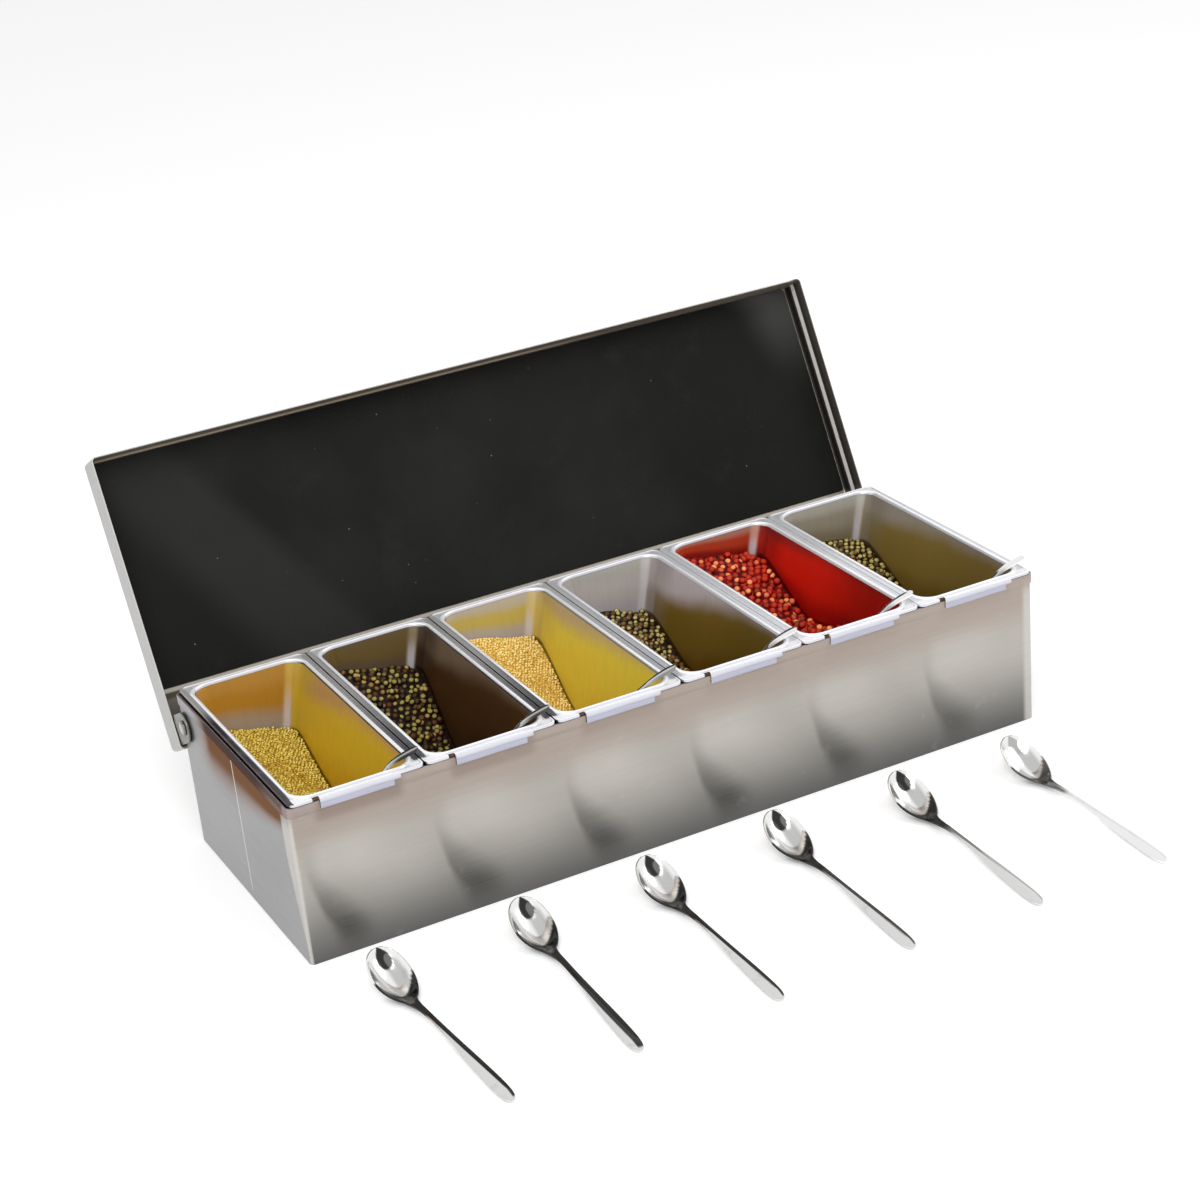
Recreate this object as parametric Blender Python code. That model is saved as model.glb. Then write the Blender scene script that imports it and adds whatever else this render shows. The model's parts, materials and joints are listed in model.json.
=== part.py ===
"""Spice box: a steel case that holds six lift-out pans with spoons under one hinged lid, with six table spoons."""

import math

import bmesh
import bpy
from mathutils import Matrix, Vector

# Case. The box stands on z = 0, centred on the origin, with its front towards -Y.
CASE_LENGTH = 0.500
CASE_DEPTH = 0.180
CASE_HEIGHT = 0.101
CASE_SHEET = 0.0008
CASE_CORNER = 0.003
HEM_HEIGHT = 0.0065
FLOOR_LIP = 0.008
SEAM_GAP = 0.0003

# Clearances.
SPOT_GAP = 0.0003
REST_GAP = 0.0003
LID_SIDE_GAP = 0.0016
LID_FRONT_GAP = 0.0008
LID_REAR_GAP = 0.0008
PIVOT_CLEARANCE = 0.0001

# Pans.
PAN_COUNT = 6
PAN_END_MARGIN = 0.0014
PAN_GAP = 0.0008
PAN_SHEET = 0.0006
PAN_RIM = 0.0056
PAN_RIM_THICKNESS = 0.0016
PAN_RIM_CORNER = 0.004
PAN_BEAD = 0.0011
PAN_BEAD_WIDTH = 0.0024
PAN_FRONT_OVERHANG = 0.0007
PAN_REAR_REST = 0.0005
PAN_CORNER = 0.011
PAN_FLOOR_WIDTH = 0.027
PAN_END_DRAFT = 0.10
PAN_FLOOR_RADIUS = 0.008
PAN_FLOOR_CLEARANCE = 0.0176
TAB_WIDTH = 0.049
TAB_OFFSET = 0.0014
TAB_DROP = 0.0069
TAB_SHEET = 0.0008
TAB_STAND = 0.0004
NOTCH_WIDTH = 0.004
NOTCH_DEPTH = 0.0011

# Spices, each as far below the top of its pan: at the front, at the scooped-out middle and at the rear heap.
SPICE_DEPTHS = (0.036, 0.034, 0.029, 0.035, 0.031, 0.034)
SPICE_MIDDLE_DEPTHS = (0.053, 0.054, 0.055, 0.052, 0.038, 0.048)
SPICE_REAR_DEPTHS = (0.038, 0.022, 0.026, 0.032, 0.016, 0.0275)
SPICE_LEAN = 0.20
SPICE_CLEARANCE = 0.0004
SPICE_SWELL = 0.0014
SPICE_LUMP = 0.0010

# Lid.
LID_SHEET = 0.0008
LID_SKIRT = 0.024
LID_SKIRT_OVERLAP = 0.001
LID_CORNER = 0.003
LID_FOLD = 0.002
LINER_SHEET = 0.0005
LINER_EDGE_GAP = 0.0008
LINER_REAR_MARGIN = 0.0381
LINER_CORNER = 0.003

# Hinge.
PIVOT_FROM_REAR = 0.010
PIVOT_BELOW_TOP = 0.019
RIVET_RADIUS = 0.0025
RIVET_HEAD_RADIUS = 0.0048
RIVET_HEAD_RISE = 0.0018
RIVET_TAIL_RADIUS = 0.0038
RIVET_TAIL_THICKNESS = 0.0012
EAR_SHEET = 0.001
EAR_HALF_WIDTH = 0.0095
EAR_LAP = 0.016

# Table spoons: place along the row against each pan's centre, gap to the case, and turn in degrees.
SPOON_LENGTH = 0.1525
SPOON_BOWL_WIDTH = 0.0226
SPOON_BOWL_DEPTH = 0.0060
SPOON_ARCH = 0.0180
SPOON_SHEET = 0.0012
SPOON_SHIFTS = (-0.0141, -0.0073, -0.0092, -0.0049, -0.0022, -0.0055)
SPOON_GAPS = (0.0324, 0.0312, 0.0331, 0.0315, 0.0354, 0.0395)
SPOON_TURNS = (3.0, -2.3, -0.6, -1.2, -2.1, -0.5)

# Pan spoons, leaning on the front right corner of each rim.
PAN_SPOON_BOWL_WIDTH = 0.016
PAN_SPOON_BOWL_DEPTH = 0.0032
PAN_SPOON_HANDLE = 0.0046
PAN_SPOON_SHEET = 0.0011
PAN_SPOON_RISE = 0.0058
PAN_SPOON_BOWL_LENGTH = 0.023
PAN_SPOON_CLEAR = 0.0006
PAN_SPOON_FROM_SIDE = 0.0035
PAN_SPOON_FROM_FRONT = 0.0165
PAN_SPOON_SEAT = 0.0022
PAN_SPOON_BOWL_RISE = 0.0052
PAN_SPOON_NECK_DIP = 0.0016
PAN_SPOON_LEAN_FROM_SIDE = 0.0130
PAN_SPOON_LEAN_FROM_FRONT = 0.0018
PAN_SPOON_END_GAP = 0.0006
PAN_SPOON_END_CROWN = 0.0004

# Derived sizes.
HALF_LENGTH = CASE_LENGTH / 2
HALF_DEPTH = CASE_DEPTH / 2
HEM_THICKNESS = CASE_SHEET
PAN_WIDTH = (CASE_LENGTH - 2 * PAN_END_MARGIN - (PAN_COUNT - 1) * PAN_GAP) / PAN_COUNT
PAN_PITCH = PAN_WIDTH + PAN_GAP
PAN_FRONT = -(HALF_DEPTH + HEM_THICKNESS + PAN_FRONT_OVERHANG)
PAN_REAR = HALF_DEPTH + PAN_REAR_REST
PAN_MID_Y = (PAN_FRONT + PAN_REAR) / 2
PAN_HALF_X = PAN_WIDTH / 2 - PAN_RIM
PAN_HALF_Y = (PAN_REAR - PAN_FRONT) / 2 - PAN_RIM
PAN_REST_Z = CASE_HEIGHT + REST_GAP
PAN_TOP = PAN_REST_Z + PAN_RIM_THICKNESS + PAN_BEAD
PAN_FLOOR_Z = CASE_SHEET + PAN_FLOOR_CLEARANCE + PAN_SHEET
PAN_DEPTH = PAN_TOP - PAN_FLOOR_Z
PAN_SIDE_DRAFT = (PAN_HALF_X - PAN_FLOOR_WIDTH / 2) / PAN_DEPTH
PIVOT_Y = HALF_DEPTH - PIVOT_FROM_REAR
PIVOT_Z = CASE_HEIGHT - PIVOT_BELOW_TOP
LID_HALF_X = HALF_LENGTH + HEM_THICKNESS + LID_SIDE_GAP + LID_SHEET
LID_FRONT = PIVOT_Y - PAN_FRONT + TAB_STAND + LID_FRONT_GAP + LID_SHEET
LID_REAR = PIVOT_FROM_REAR + HEM_THICKNESS + LID_REAR_GAP + LID_SHEET
LID_EDGE = PIVOT_BELOW_TOP - LID_SKIRT_OVERLAP
LID_TOP = LID_EDGE + LID_SKIRT
LID_REACH = math.hypot(LID_REAR, LID_EDGE)
LID_OPEN = math.atan2(LID_EDGE, LID_REAR) + math.acos((PIVOT_FROM_REAR + REST_GAP) / LID_REACH)
EAR_INNER_X = HALF_LENGTH + HEM_THICKNESS + SPOT_GAP
EAR_OUTER_X = EAR_INNER_X + EAR_SHEET

STEPS = 5


def material(name, color, roughness, metallic):
    made = bpy.data.materials.new(name)
    made.use_nodes = True
    shader = made.node_tree.nodes["Principled BSDF"]
    shader.inputs["Base Color"].default_value = (*color, 1.0)
    shader.inputs["Roughness"].default_value = roughness
    shader.inputs["Metallic"].default_value = metallic
    made.diffuse_color = (*color, 1.0)
    return made


def mesh_from(name, points, faces, sharp=40.0):
    """A closed mesh with its faces turned outwards, smooth except at edges sharper than the angle."""
    mesh = bpy.data.meshes.new(name)
    mesh.from_pydata([tuple(p) for p in points], [], faces)
    work = bmesh.new()
    work.from_mesh(mesh)
    bmesh.ops.recalc_face_normals(work, faces=work.faces)
    work.to_mesh(mesh)
    work.free()
    mesh.shade_smooth()
    mesh.set_sharp_from_angle(angle=math.radians(sharp))
    return mesh


def place(name, mesh, look, location=(0, 0, 0), turn=0.0, parent=None):
    made = bpy.data.objects.new(name, mesh)
    made.location = location
    made.rotation_euler[2] = turn
    made.parent = parent
    if not mesh.materials:
        mesh.materials.append(look)
    bpy.context.scene.collection.objects.link(made)
    return made


def loft(rings):
    """Points and faces of a closed shell through rings of equally many points, flat at both ends."""
    count = len(rings[0])
    points = [p for ring in rings for p in ring]
    faces = [list(range(count))]
    for level in range(len(rings) - 1):
        low = level * count
        for i in range(count):
            j = (i + 1) % count
            faces.append([low + i, low + j, low + count + j, low + count + i])
    last = (len(rings) - 1) * count
    faces.append([last + i for i in range(count)])
    return points, faces


def rounded(half_x, half_y, radius, z, mid_y=0.0, front=()):
    """Corner arcs of a rectangle, anticlockwise from the front left, with extra points along the front.

    front holds (share of the straight front, y shift, z) for each extra point."""
    ring = []
    radius = max(radius, 0.0002)
    corners = ((-1, -1, 180), (1, -1, 270), (1, 1, 0), (-1, 1, 90))
    for index, (sx, sy, start) in enumerate(corners):
        for step in range(STEPS + 1):
            angle = math.radians(start + 90 * step / STEPS)
            x = sx * (half_x - radius) + radius * math.cos(angle)
            y = sy * (half_y - radius) + radius * math.sin(angle)
            ring.append((x, mid_y + y, z))
        if index == 0:
            straight = half_x - radius
            for share, shift, height in front:
                ring.append((share * straight, mid_y - half_y + shift, height if height is not None else z))
    return ring


def wall_stations(side):
    """Outer line of half the case from one end seam round to the other, as (point, outward normal)."""
    reach = HALF_LENGTH - CASE_CORNER
    deep = HALF_DEPTH - CASE_CORNER
    stations = [(Vector((-HALF_LENGTH, side * SEAM_GAP / 2, 0)), Vector((-1, 0, 0)))]
    for step in range(STEPS + 1):
        angle = math.radians(90 * step / STEPS)
        out = Vector((-math.cos(angle), side * math.sin(angle), 0))
        stations.append((Vector((-reach, side * deep, 0)) + out * CASE_CORNER, out))
    for point, out in reversed(list(stations)):
        stations.append((Vector((-point.x, point.y, 0)), Vector((-out.x, out.y, 0))))
    return stations


def wrap_mesh(name, side):
    """Half of the case wall, with the top edge hemmed outwards."""
    soft = HEM_THICKNESS * 0.45
    section = (
        (-CASE_SHEET, 0.0),
        (-CASE_SHEET, CASE_HEIGHT - soft),
        (-CASE_SHEET + soft, CASE_HEIGHT),
        (HEM_THICKNESS - soft, CASE_HEIGHT),
        (HEM_THICKNESS, CASE_HEIGHT - soft),
        (HEM_THICKNESS, CASE_HEIGHT - HEM_HEIGHT + soft),
        (HEM_THICKNESS - soft, CASE_HEIGHT - HEM_HEIGHT),
        (0.0, CASE_HEIGHT - HEM_HEIGHT),
        (0.0, 0.0),
    )
    rings = []
    for point, out in wall_stations(side):
        rings.append([point + out * shift + Vector((0, 0, height)) for shift, height in section])
    return mesh_from(name, *loft(rings), sharp=30)


def hinge_hole():
    """Rod through both end walls on the lid's pivot."""
    radius = RIVET_RADIUS + PIVOT_CLEARANCE
    rings = [circle(x, radius, 24) for x in (-HALF_LENGTH - 0.01, HALF_LENGTH + 0.01)]
    made = place("hinge_hole", mesh_from("hinge_hole", *loft(rings)), STEEL_CASE, (0, PIVOT_Y, PIVOT_Z))
    made.hide_render = True
    made.display_type = "WIRE"
    return made


def circle(x, radius, count):
    ring = []
    for i in range(count):
        angle = 2 * math.pi * i / count
        ring.append((x, radius * math.cos(angle), radius * math.sin(angle)))
    return ring


def floor_mesh():
    half_x = HALF_LENGTH - CASE_SHEET - SPOT_GAP
    half_y = HALF_DEPTH - CASE_SHEET - SPOT_GAP
    corner = CASE_CORNER - CASE_SHEET - SPOT_GAP
    inside = half_x - CASE_SHEET
    deep = half_y - CASE_SHEET
    rings = (
        rounded(inside, deep, corner - CASE_SHEET, CASE_SHEET),
        rounded(inside, deep, corner - CASE_SHEET, FLOOR_LIP),
        rounded(half_x, half_y, corner, FLOOR_LIP),
        rounded(half_x, half_y, corner, 0.0),
    )
    return mesh_from("case_floor", *loft(rings), sharp=30)


def pan_inset(depth):
    """How far the inner walls have drawn in at a depth below the top, sideways and lengthways."""
    return PAN_SIDE_DRAFT * depth, PAN_END_DRAFT * depth


def pan_corner(depth):
    return PAN_CORNER + (PAN_FLOOR_RADIUS - PAN_CORNER) * depth / PAN_DEPTH


def fillet(radius):
    """(rise from the floor, extra inset) down the rounded foot of a wall."""
    return ((radius, 0.0), (radius * 0.3, radius * 0.29), (0.0, radius))


def pan_mesh():
    """One pan: tapered walls, a bead round the opening, a rolled rim and a grip tab on its front."""
    outer_x = PAN_HALF_X + PAN_RIM
    outer_y = PAN_HALF_Y + PAN_RIM
    straight = outer_x - PAN_RIM_CORNER
    low = (TAB_OFFSET - TAB_WIDTH / 2) / straight
    high = (TAB_OFFSET + TAB_WIDTH / 2) / straight
    notch = low - NOTCH_WIDTH / straight
    step = 0.00005 / straight

    def front(notch_y=0.0, tab_y=0.0, tab_z=None):
        return (
            (notch - step, 0.0, None),
            (notch + step, notch_y, None),
            (low - 2 * step, notch_y, None),
            (low - step, tab_y, None),
            (low + step, tab_y, tab_z),
            (high - step, tab_y, tab_z),
            (high + step, tab_y, None),
            (high + 2 * step, 0.0, None),
        )

    def wall(depth, extra, grow, z):
        side, end = pan_inset(depth)
        half_x = PAN_HALF_X - side - extra + grow
        half_y = PAN_HALF_Y - end - extra + grow
        radius = max(pan_corner(depth) - extra * 0.6, 0.002) + grow
        return rounded(half_x, half_y, radius, z, PAN_MID_Y, front())

    def rim(out, z, radius, extra=None):
        return rounded(PAN_HALF_X + out, PAN_HALF_Y + out, radius, z, PAN_MID_Y, extra or front())

    rings = []
    for rise, extra in reversed(fillet(PAN_FLOOR_RADIUS)):
        rings.append(wall(PAN_DEPTH - rise, extra, 0.0, PAN_FLOOR_Z + rise))
    flange = PAN_TOP - PAN_BEAD
    rings.append(wall(PAN_BEAD, 0.0, 0.0, flange))
    rings.append(rim(PAN_BEAD_WIDTH * 0.15, PAN_TOP - PAN_BEAD * 0.25, PAN_CORNER))
    rings.append(rim(PAN_BEAD_WIDTH * 0.42, PAN_TOP, PAN_CORNER * 0.97))
    rings.append(rim(PAN_BEAD_WIDTH * 0.75, PAN_TOP - PAN_BEAD * 0.3, PAN_CORNER * 0.9))
    rings.append(rim(PAN_BEAD_WIDTH, flange, PAN_CORNER * 0.8))
    edge = PAN_RIM_THICKNESS * 0.45
    rings.append(rim(PAN_RIM - edge, flange, PAN_RIM_CORNER, front(NOTCH_DEPTH)))
    rings.append(rim(PAN_RIM - edge * 0.3, flange - edge * 0.3, PAN_RIM_CORNER, front(NOTCH_DEPTH, -TAB_STAND / 2)))
    rings.append(rim(PAN_RIM, flange - edge, PAN_RIM_CORNER, front(NOTCH_DEPTH, -TAB_STAND)))
    lower = PAN_REST_Z + edge * 0.5
    tab_foot = PAN_TOP - PAN_BEAD - TAB_DROP
    rings.append(rim(PAN_RIM, lower, PAN_RIM_CORNER, front(NOTCH_DEPTH, -TAB_STAND, tab_foot)))
    inner = TAB_SHEET - TAB_STAND
    under = front(NOTCH_DEPTH, inner - edge * 0.5, tab_foot)
    rings.append(rim(PAN_RIM - edge * 0.5, PAN_REST_Z, PAN_RIM_CORNER, under))
    rings.append(rim(PAN_RIM - edge, PAN_REST_Z, PAN_RIM_CORNER, front(NOTCH_DEPTH, inner - edge)))
    top_depth = PAN_TOP - PAN_REST_Z
    rings.append(wall(top_depth, 0.0, PAN_SHEET, PAN_REST_Z))
    for rise, extra in fillet(PAN_FLOOR_RADIUS):
        rings.append(wall(PAN_DEPTH - rise, extra, PAN_SHEET, PAN_FLOOR_Z + rise - PAN_SHEET))
    return mesh_from("pan", *loft(rings), sharp=35)


def spice_level(pick, across, along):
    """Depth of a fill below the pan's top at a share across (left to right) and along (front to rear)."""
    lowest = 0.15
    front, middle, rear = SPICE_DEPTHS[pick], SPICE_MIDDLE_DEPTHS[pick], SPICE_REAR_DEPTHS[pick]
    if along > lowest:
        end, t = rear, (along - lowest) / (1 - lowest)
    else:
        end, t = front, (lowest - along) / (1 + lowest)
    rise = 0.5 * t + 0.5 * t * t * (3 - 2 * t)
    lean = SPICE_LEAN * PAN_HALF_X * across * min(max((along + 0.6) / 0.8, 0.0), 1.0)
    return middle + (end - middle) * rise + lean * 0.75


def spice_mesh(name, pick, phase):
    """The fill of one pan: it follows the walls, and its uneven top is heaped at both ends, most at the rear."""
    across = 8
    shares = (-1.0, -0.985, -0.95, -0.8, -0.6, -0.4, -0.2, 0.0, 0.15, 0.3, 0.45, 0.6, 0.75, 0.87, 0.95, 0.985, 1.0)

    def half_width(share, at, extra):
        side, end = pan_inset(at)
        half_x = PAN_HALF_X - side - extra - SPICE_CLEARANCE
        half_y = PAN_HALF_Y - end - extra - SPICE_CLEARANCE
        radius = max(pan_corner(at) - extra * 0.6, 0.002)
        y = share * half_y
        past = abs(y) - (half_y - radius)
        cut = radius - math.sqrt(max(radius * radius - past * past, 0.0)) if past > 0 else 0.0
        return half_x - cut, PAN_MID_Y + y

    def swell(x, y):
        wave = math.sin(x * 180 + phase) * math.cos(y * 140 + 2 * phase)
        crown = math.cos(math.pi * min(abs(x) / PAN_HALF_X, 1.0) / 2)
        return SPICE_LUMP * wave + SPICE_SWELL * crown

    rings = []
    feet = [(rise + SPICE_CLEARANCE, extra) for rise, extra in reversed(fillet(PAN_FLOOR_RADIUS))]
    for share in shares:
        ring = []
        for rise, extra in feet:
            half_x, y = half_width(share, PAN_DEPTH - rise, extra)
            ring.append((-half_x, y, PAN_FLOOR_Z + rise))
        for i in range(across + 1):
            aside = 2 * i / across - 1
            depth = spice_level(pick, aside, share)
            half_x, y = half_width(share, depth, 0.0)
            rise = 0.0 if i in (0, across) or abs(share) == 1.0 else swell(half_x * aside, y)
            ring.append((half_x * aside, y, PAN_TOP - depth + rise))
        for rise, extra in reversed(feet):
            half_x, y = half_width(share, PAN_DEPTH - rise, extra)
            ring.append((half_x, y, PAN_FLOOR_Z + rise))
        rings.append(ring)
    return mesh_from(name, *loft(rings), sharp=50)


def lid_mesh():
    """The folded lid about its pivot, as it stands when it is shut."""
    mid = (LID_REAR - LID_FRONT) / 2
    half_y = (LID_REAR + LID_FRONT) / 2
    inside = LID_SHEET

    def level(shrink, radius, z):
        return rounded(LID_HALF_X - shrink, half_y - shrink, radius, z, mid)

    under = LID_TOP - LID_SHEET
    fold = LID_FOLD
    inner_fold = LID_FOLD - LID_SHEET
    inner_corner = LID_CORNER - LID_SHEET
    rings = (
        level(inside + inner_fold, inner_corner * 0.5, under),
        level(inside + inner_fold * 0.3, inner_corner * 0.85, under - inner_fold * 0.3),
        level(inside, inner_corner, under - inner_fold),
        level(inside, inner_corner, LID_EDGE),
        level(0.0, LID_CORNER, LID_EDGE),
        level(0.0, LID_CORNER, LID_TOP - fold),
        level(fold * 0.3, LID_CORNER * 0.9, LID_TOP - fold * 0.3),
        level(fold, LID_CORNER * 0.7, LID_TOP),
    )
    return mesh_from("lid_tray", *loft(rings), sharp=30)


def liner_mesh():
    """The dark sheet inside the lid; it stops short of the hinge side."""
    half_x = LID_HALF_X - LID_SHEET - LINER_EDGE_GAP
    front = LID_FRONT - LID_SHEET - LINER_EDGE_GAP
    rear = LID_REAR - LID_SHEET - LINER_REAR_MARGIN
    mid = (rear - front) / 2
    half_y = (rear + front) / 2
    top = LID_TOP - LID_SHEET - SPOT_GAP
    # The corner at the fold keeps clear of the rounded inside edge of the lid.
    inset = max(LID_FOLD - LID_SHEET - LINER_EDGE_GAP, 0.0) * 0.6
    rings = [
        rounded(half_x - inset, half_y - inset, LINER_CORNER, z, mid)
        for z in (top - LINER_SHEET, top)
    ]
    return mesh_from("lid_inner_panel", *loft(rings), sharp=30)


def ear_mesh(side):
    """Flat strap with a round end and the pivot hole, from the pivot up into the lid."""
    count = 24
    hole = RIVET_RADIUS + PIVOT_CLEARANCE
    tall = LID_EDGE + EAR_LAP
    outline, ring = [], []
    for i in range(count):
        angle = 2 * math.pi * i / count
        c, s = math.cos(angle), math.sin(angle)
        ring.append((hole * c, hole * s))
        if s <= 0.0001:
            outline.append((EAR_HALF_WIDTH * c, EAR_HALF_WIDTH * s))
        else:
            reach = min(EAR_HALF_WIDTH / max(abs(c), 1e-6), tall / s)
            outline.append((reach * c, reach * s))
    corner = math.atan2(tall, EAR_HALF_WIDTH)
    near = min(range(1, count // 4), key=lambda i: abs(2 * math.pi * i / count - corner))
    outline[near] = (EAR_HALF_WIDTH, tall)
    outline[count // 2 - near] = (-EAR_HALF_WIDTH, tall)
    points, faces = [], []
    for x in (side * EAR_INNER_X, side * EAR_OUTER_X):
        points += [(x, y, z) for y, z in ring]
        points += [(x, y, z) for y, z in outline]
    for i in range(count):
        j = (i + 1) % count
        faces.append([i, j, count + j, count + i])
        faces.append([2 * count + i, 2 * count + j, 3 * count + j, 3 * count + i])
        faces.append([i, j, 2 * count + j, 2 * count + i])
        faces.append([count + i, count + j, 3 * count + j, 3 * count + i])
    return mesh_from("hinge_ear", points, faces, sharp=30)


def rivet_mesh(side):
    """Domed head outside the ear, shank through the ear and the end wall, flattened tail inside."""
    head = EAR_OUTER_X + SPOT_GAP
    tail = HALF_LENGTH - CASE_SHEET - SPOT_GAP
    profile = [(tail - RIVET_TAIL_THICKNESS, RIVET_TAIL_RADIUS * 0.85)]
    profile.append((tail - RIVET_TAIL_THICKNESS * 0.6, RIVET_TAIL_RADIUS))
    profile.append((tail, RIVET_TAIL_RADIUS))
    profile.append((tail, RIVET_RADIUS))
    profile.append((head, RIVET_RADIUS))
    profile.append((head, RIVET_HEAD_RADIUS))
    for share in (0.25, 0.5, 0.75, 0.95):
        angle = math.pi / 2 * share
        profile.append((head + RIVET_HEAD_RISE * math.sin(angle), RIVET_HEAD_RADIUS * math.cos(angle)))
    rings = [circle(side * x, radius, 24) for x, radius in profile]
    return mesh_from("hinge_rivet", *loft(rings), sharp=30)


def spoon_mesh(name, stations, sheet, across):
    """A pressed spoon. Each station is (centre, half width, sag, level sideways direction)."""
    rings = []
    for index, (centre, half, sag, sideways) in enumerate(stations):
        before = stations[max(index - 1, 0)][0]
        after = stations[min(index + 1, len(stations) - 1)][0]
        along = (after - before).normalized()
        up = sideways.cross(along).normalized()
        if up.z < 0:
            up = -up
        top, under = [], []
        for i in range(across + 1):
            share = 2 * i / across - 1
            dip = sag * (1 - share * share)
            point = centre + sideways * half * share - up * dip
            thin = sheet * (0.55 if i in (0, across) else 1.0)
            top.append(point)
            under.append(point - up * thin)
        rings.append(top + list(reversed(under)))
    return mesh_from(name, *loft(rings), sharp=60)


# Share of the length, half width against the bowl's, height of the edge against the arch, share of the dip.
SPOON_FORM = (
    (0.000, 0.140, 1.000, 0.02),
    (0.005, 0.360, 0.972, 0.14),
    (0.019, 0.610, 0.906, 0.42),
    (0.043, 0.820, 0.800, 0.70),
    (0.078, 0.960, 0.656, 0.91),
    (0.116, 1.000, 0.517, 1.00),
    (0.157, 0.930, 0.389, 0.93),
    (0.197, 0.750, 0.294, 0.68),
    (0.228, 0.530, 0.244, 0.38),
    (0.253, 0.340, 0.222, 0.15),
    (0.300, 0.225, 0.244, 0.04),
    (0.370, 0.180, 0.283, 0.00),
    (0.463, 0.180, 0.278, 0.00),
    (0.557, 0.210, 0.256, 0.00),
    (0.662, 0.270, 0.219, 0.00),
    (0.767, 0.335, 0.178, 0.00),
    (0.861, 0.375, 0.139, 0.00),
    (0.931, 0.375, 0.108, 0.00),
    (0.972, 0.310, 0.089, 0.00),
    (0.992, 0.180, 0.078, 0.00),
    (1.000, 0.060, 0.069, 0.00),
)


def table_spoon_mesh():
    """Bowl tip at the origin, handle towards -Y, lowest point at z = 0."""
    sideways = Vector((1, 0, 0))
    stations = []
    for share, width, height, dip in SPOON_FORM:
        centre = Vector((0, -share * SPOON_LENGTH, height * SPOON_ARCH))
        stations.append((centre, width * SPOON_BOWL_WIDTH / 2, dip * SPOON_BOWL_DEPTH, sideways))
    mesh = spoon_mesh("table_spoon", stations, SPOON_SHEET, 6)
    lowest = min(v.co.z for v in mesh.vertices)
    mesh.transform(Matrix.Translation((0, 0, -lowest)))
    return mesh


def pan_spoon_mesh(name, depth):
    """Bowl on the spice, handle up over the front right corner of the rim; pan centre at x = 0."""
    front = PAN_MID_Y - PAN_HALF_Y
    surface = PAN_TOP - depth + SPICE_SWELL + SPICE_LUMP + PAN_SPOON_CLEAR
    side = pan_inset(depth)[0]
    over = PAN_TOP + PAN_SPOON_SHEET
    tip = Vector((-PAN_HALF_X + side + PAN_SPOON_FROM_SIDE, front + PAN_SPOON_FROM_FRONT, 0))
    tip.z = surface + PAN_SPOON_SHEET + PAN_SPOON_SEAT
    rest = Vector((PAN_HALF_X - PAN_SPOON_LEAN_FROM_SIDE, front + PAN_SPOON_LEAN_FROM_FRONT, 0))
    rest.z = over + REST_GAP * 2
    end = Vector((PAN_WIDTH / 2 - PAN_SPOON_END_GAP, front + PAN_SPOON_END_CROWN, over + PAN_SPOON_RISE))
    heading = Vector((rest.x - tip.x, rest.y - tip.y, 0)).normalized()
    sideways = Vector((-heading.y, heading.x, 0))
    neck = tip + heading * PAN_SPOON_BOWL_LENGTH + Vector((0, 0, PAN_SPOON_BOWL_RISE))
    bowl, handle = PAN_SPOON_BOWL_WIDTH / 2, PAN_SPOON_HANDLE / 2
    form = ((0.0, 0.16, 0.05), (0.05, 0.45, 0.25), (0.18, 0.78, 0.62), (0.40, 1.0, 1.0),
            (0.62, 0.93, 0.88), (0.82, 0.62, 0.42), (1.0, 0.30, 0.08))
    stations = []
    for share, width, dip in form:
        stations.append((tip.lerp(neck, share), bowl * width, PAN_SPOON_BOWL_DEPTH * dip, sideways))
    for share, drop in ((0.14, 0.9), (0.35, 1.0), (0.62, 0.0), (0.85, -0.1), (1.0, 0.0)):
        centre = neck.lerp(rest, share) - Vector((0, 0, drop * PAN_SPOON_NECK_DIP))
        stations.append((centre, handle * (0.75 + 0.2 * share), 0.0, sideways))
    for share, lift, width in ((0.35, 1.0, 0.98), (0.70, 0.75, 1.0), (0.93, 0.25, 0.9), (1.0, 0.0, 0.35)):
        centre = rest.lerp(end, share) + Vector((0, 0, lift * PAN_SPOON_END_CROWN))
        stations.append((centre, handle * width, 0.0, sideways))
    return spoon_mesh(name, stations, PAN_SPOON_SHEET, 4)


for old in list(bpy.data.objects):
    bpy.data.objects.remove(old, do_unlink=True)

STEEL_CASE = material("case_steel", (0.60, 0.59, 0.57), 0.32, 1.0)
STEEL_FLOOR = material("floor_steel", (0.50, 0.49, 0.48), 0.45, 1.0)
STEEL_LID = material("lid_steel", (0.55, 0.54, 0.53), 0.30, 1.0)
LINER = material("liner_black", (0.017, 0.017, 0.015), 0.22, 0.0)
STEEL_HINGE = material("hinge_steel", (0.56, 0.55, 0.54), 0.28, 1.0)
STEEL_PAN = material("pan_steel", (0.78, 0.78, 0.79), 0.18, 1.0)
STEEL_SPOON = material("spoon_steel", (0.72, 0.72, 0.73), 0.12, 1.0)
SPICE_LOOKS = (
    material("spice_yellow", (0.62, 0.42, 0.07), 0.85, 0.0),
    material("spice_black_green", (0.055, 0.045, 0.02), 0.6, 0.0),
    material("spice_gold", (0.72, 0.45, 0.10), 0.85, 0.0),
    material("spice_black_olive", (0.06, 0.05, 0.025), 0.6, 0.0),
    material("spice_red", (0.42, 0.035, 0.02), 0.55, 0.0),
    material("spice_olive", (0.10, 0.085, 0.03), 0.6, 0.0),
)

place("case_front_wrap", wrap_mesh("case_front_wrap", -1), STEEL_CASE)
rear_wrap = place("case_rear_wrap", wrap_mesh("case_rear_wrap", 1), STEEL_CASE)
drill = rear_wrap.modifiers.new("hinge_holes", "BOOLEAN")
drill.operation = "DIFFERENCE"
drill.solver = "EXACT"
drill.object = hinge_hole()
place("case_floor", floor_mesh(), STEEL_FLOOR)

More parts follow.
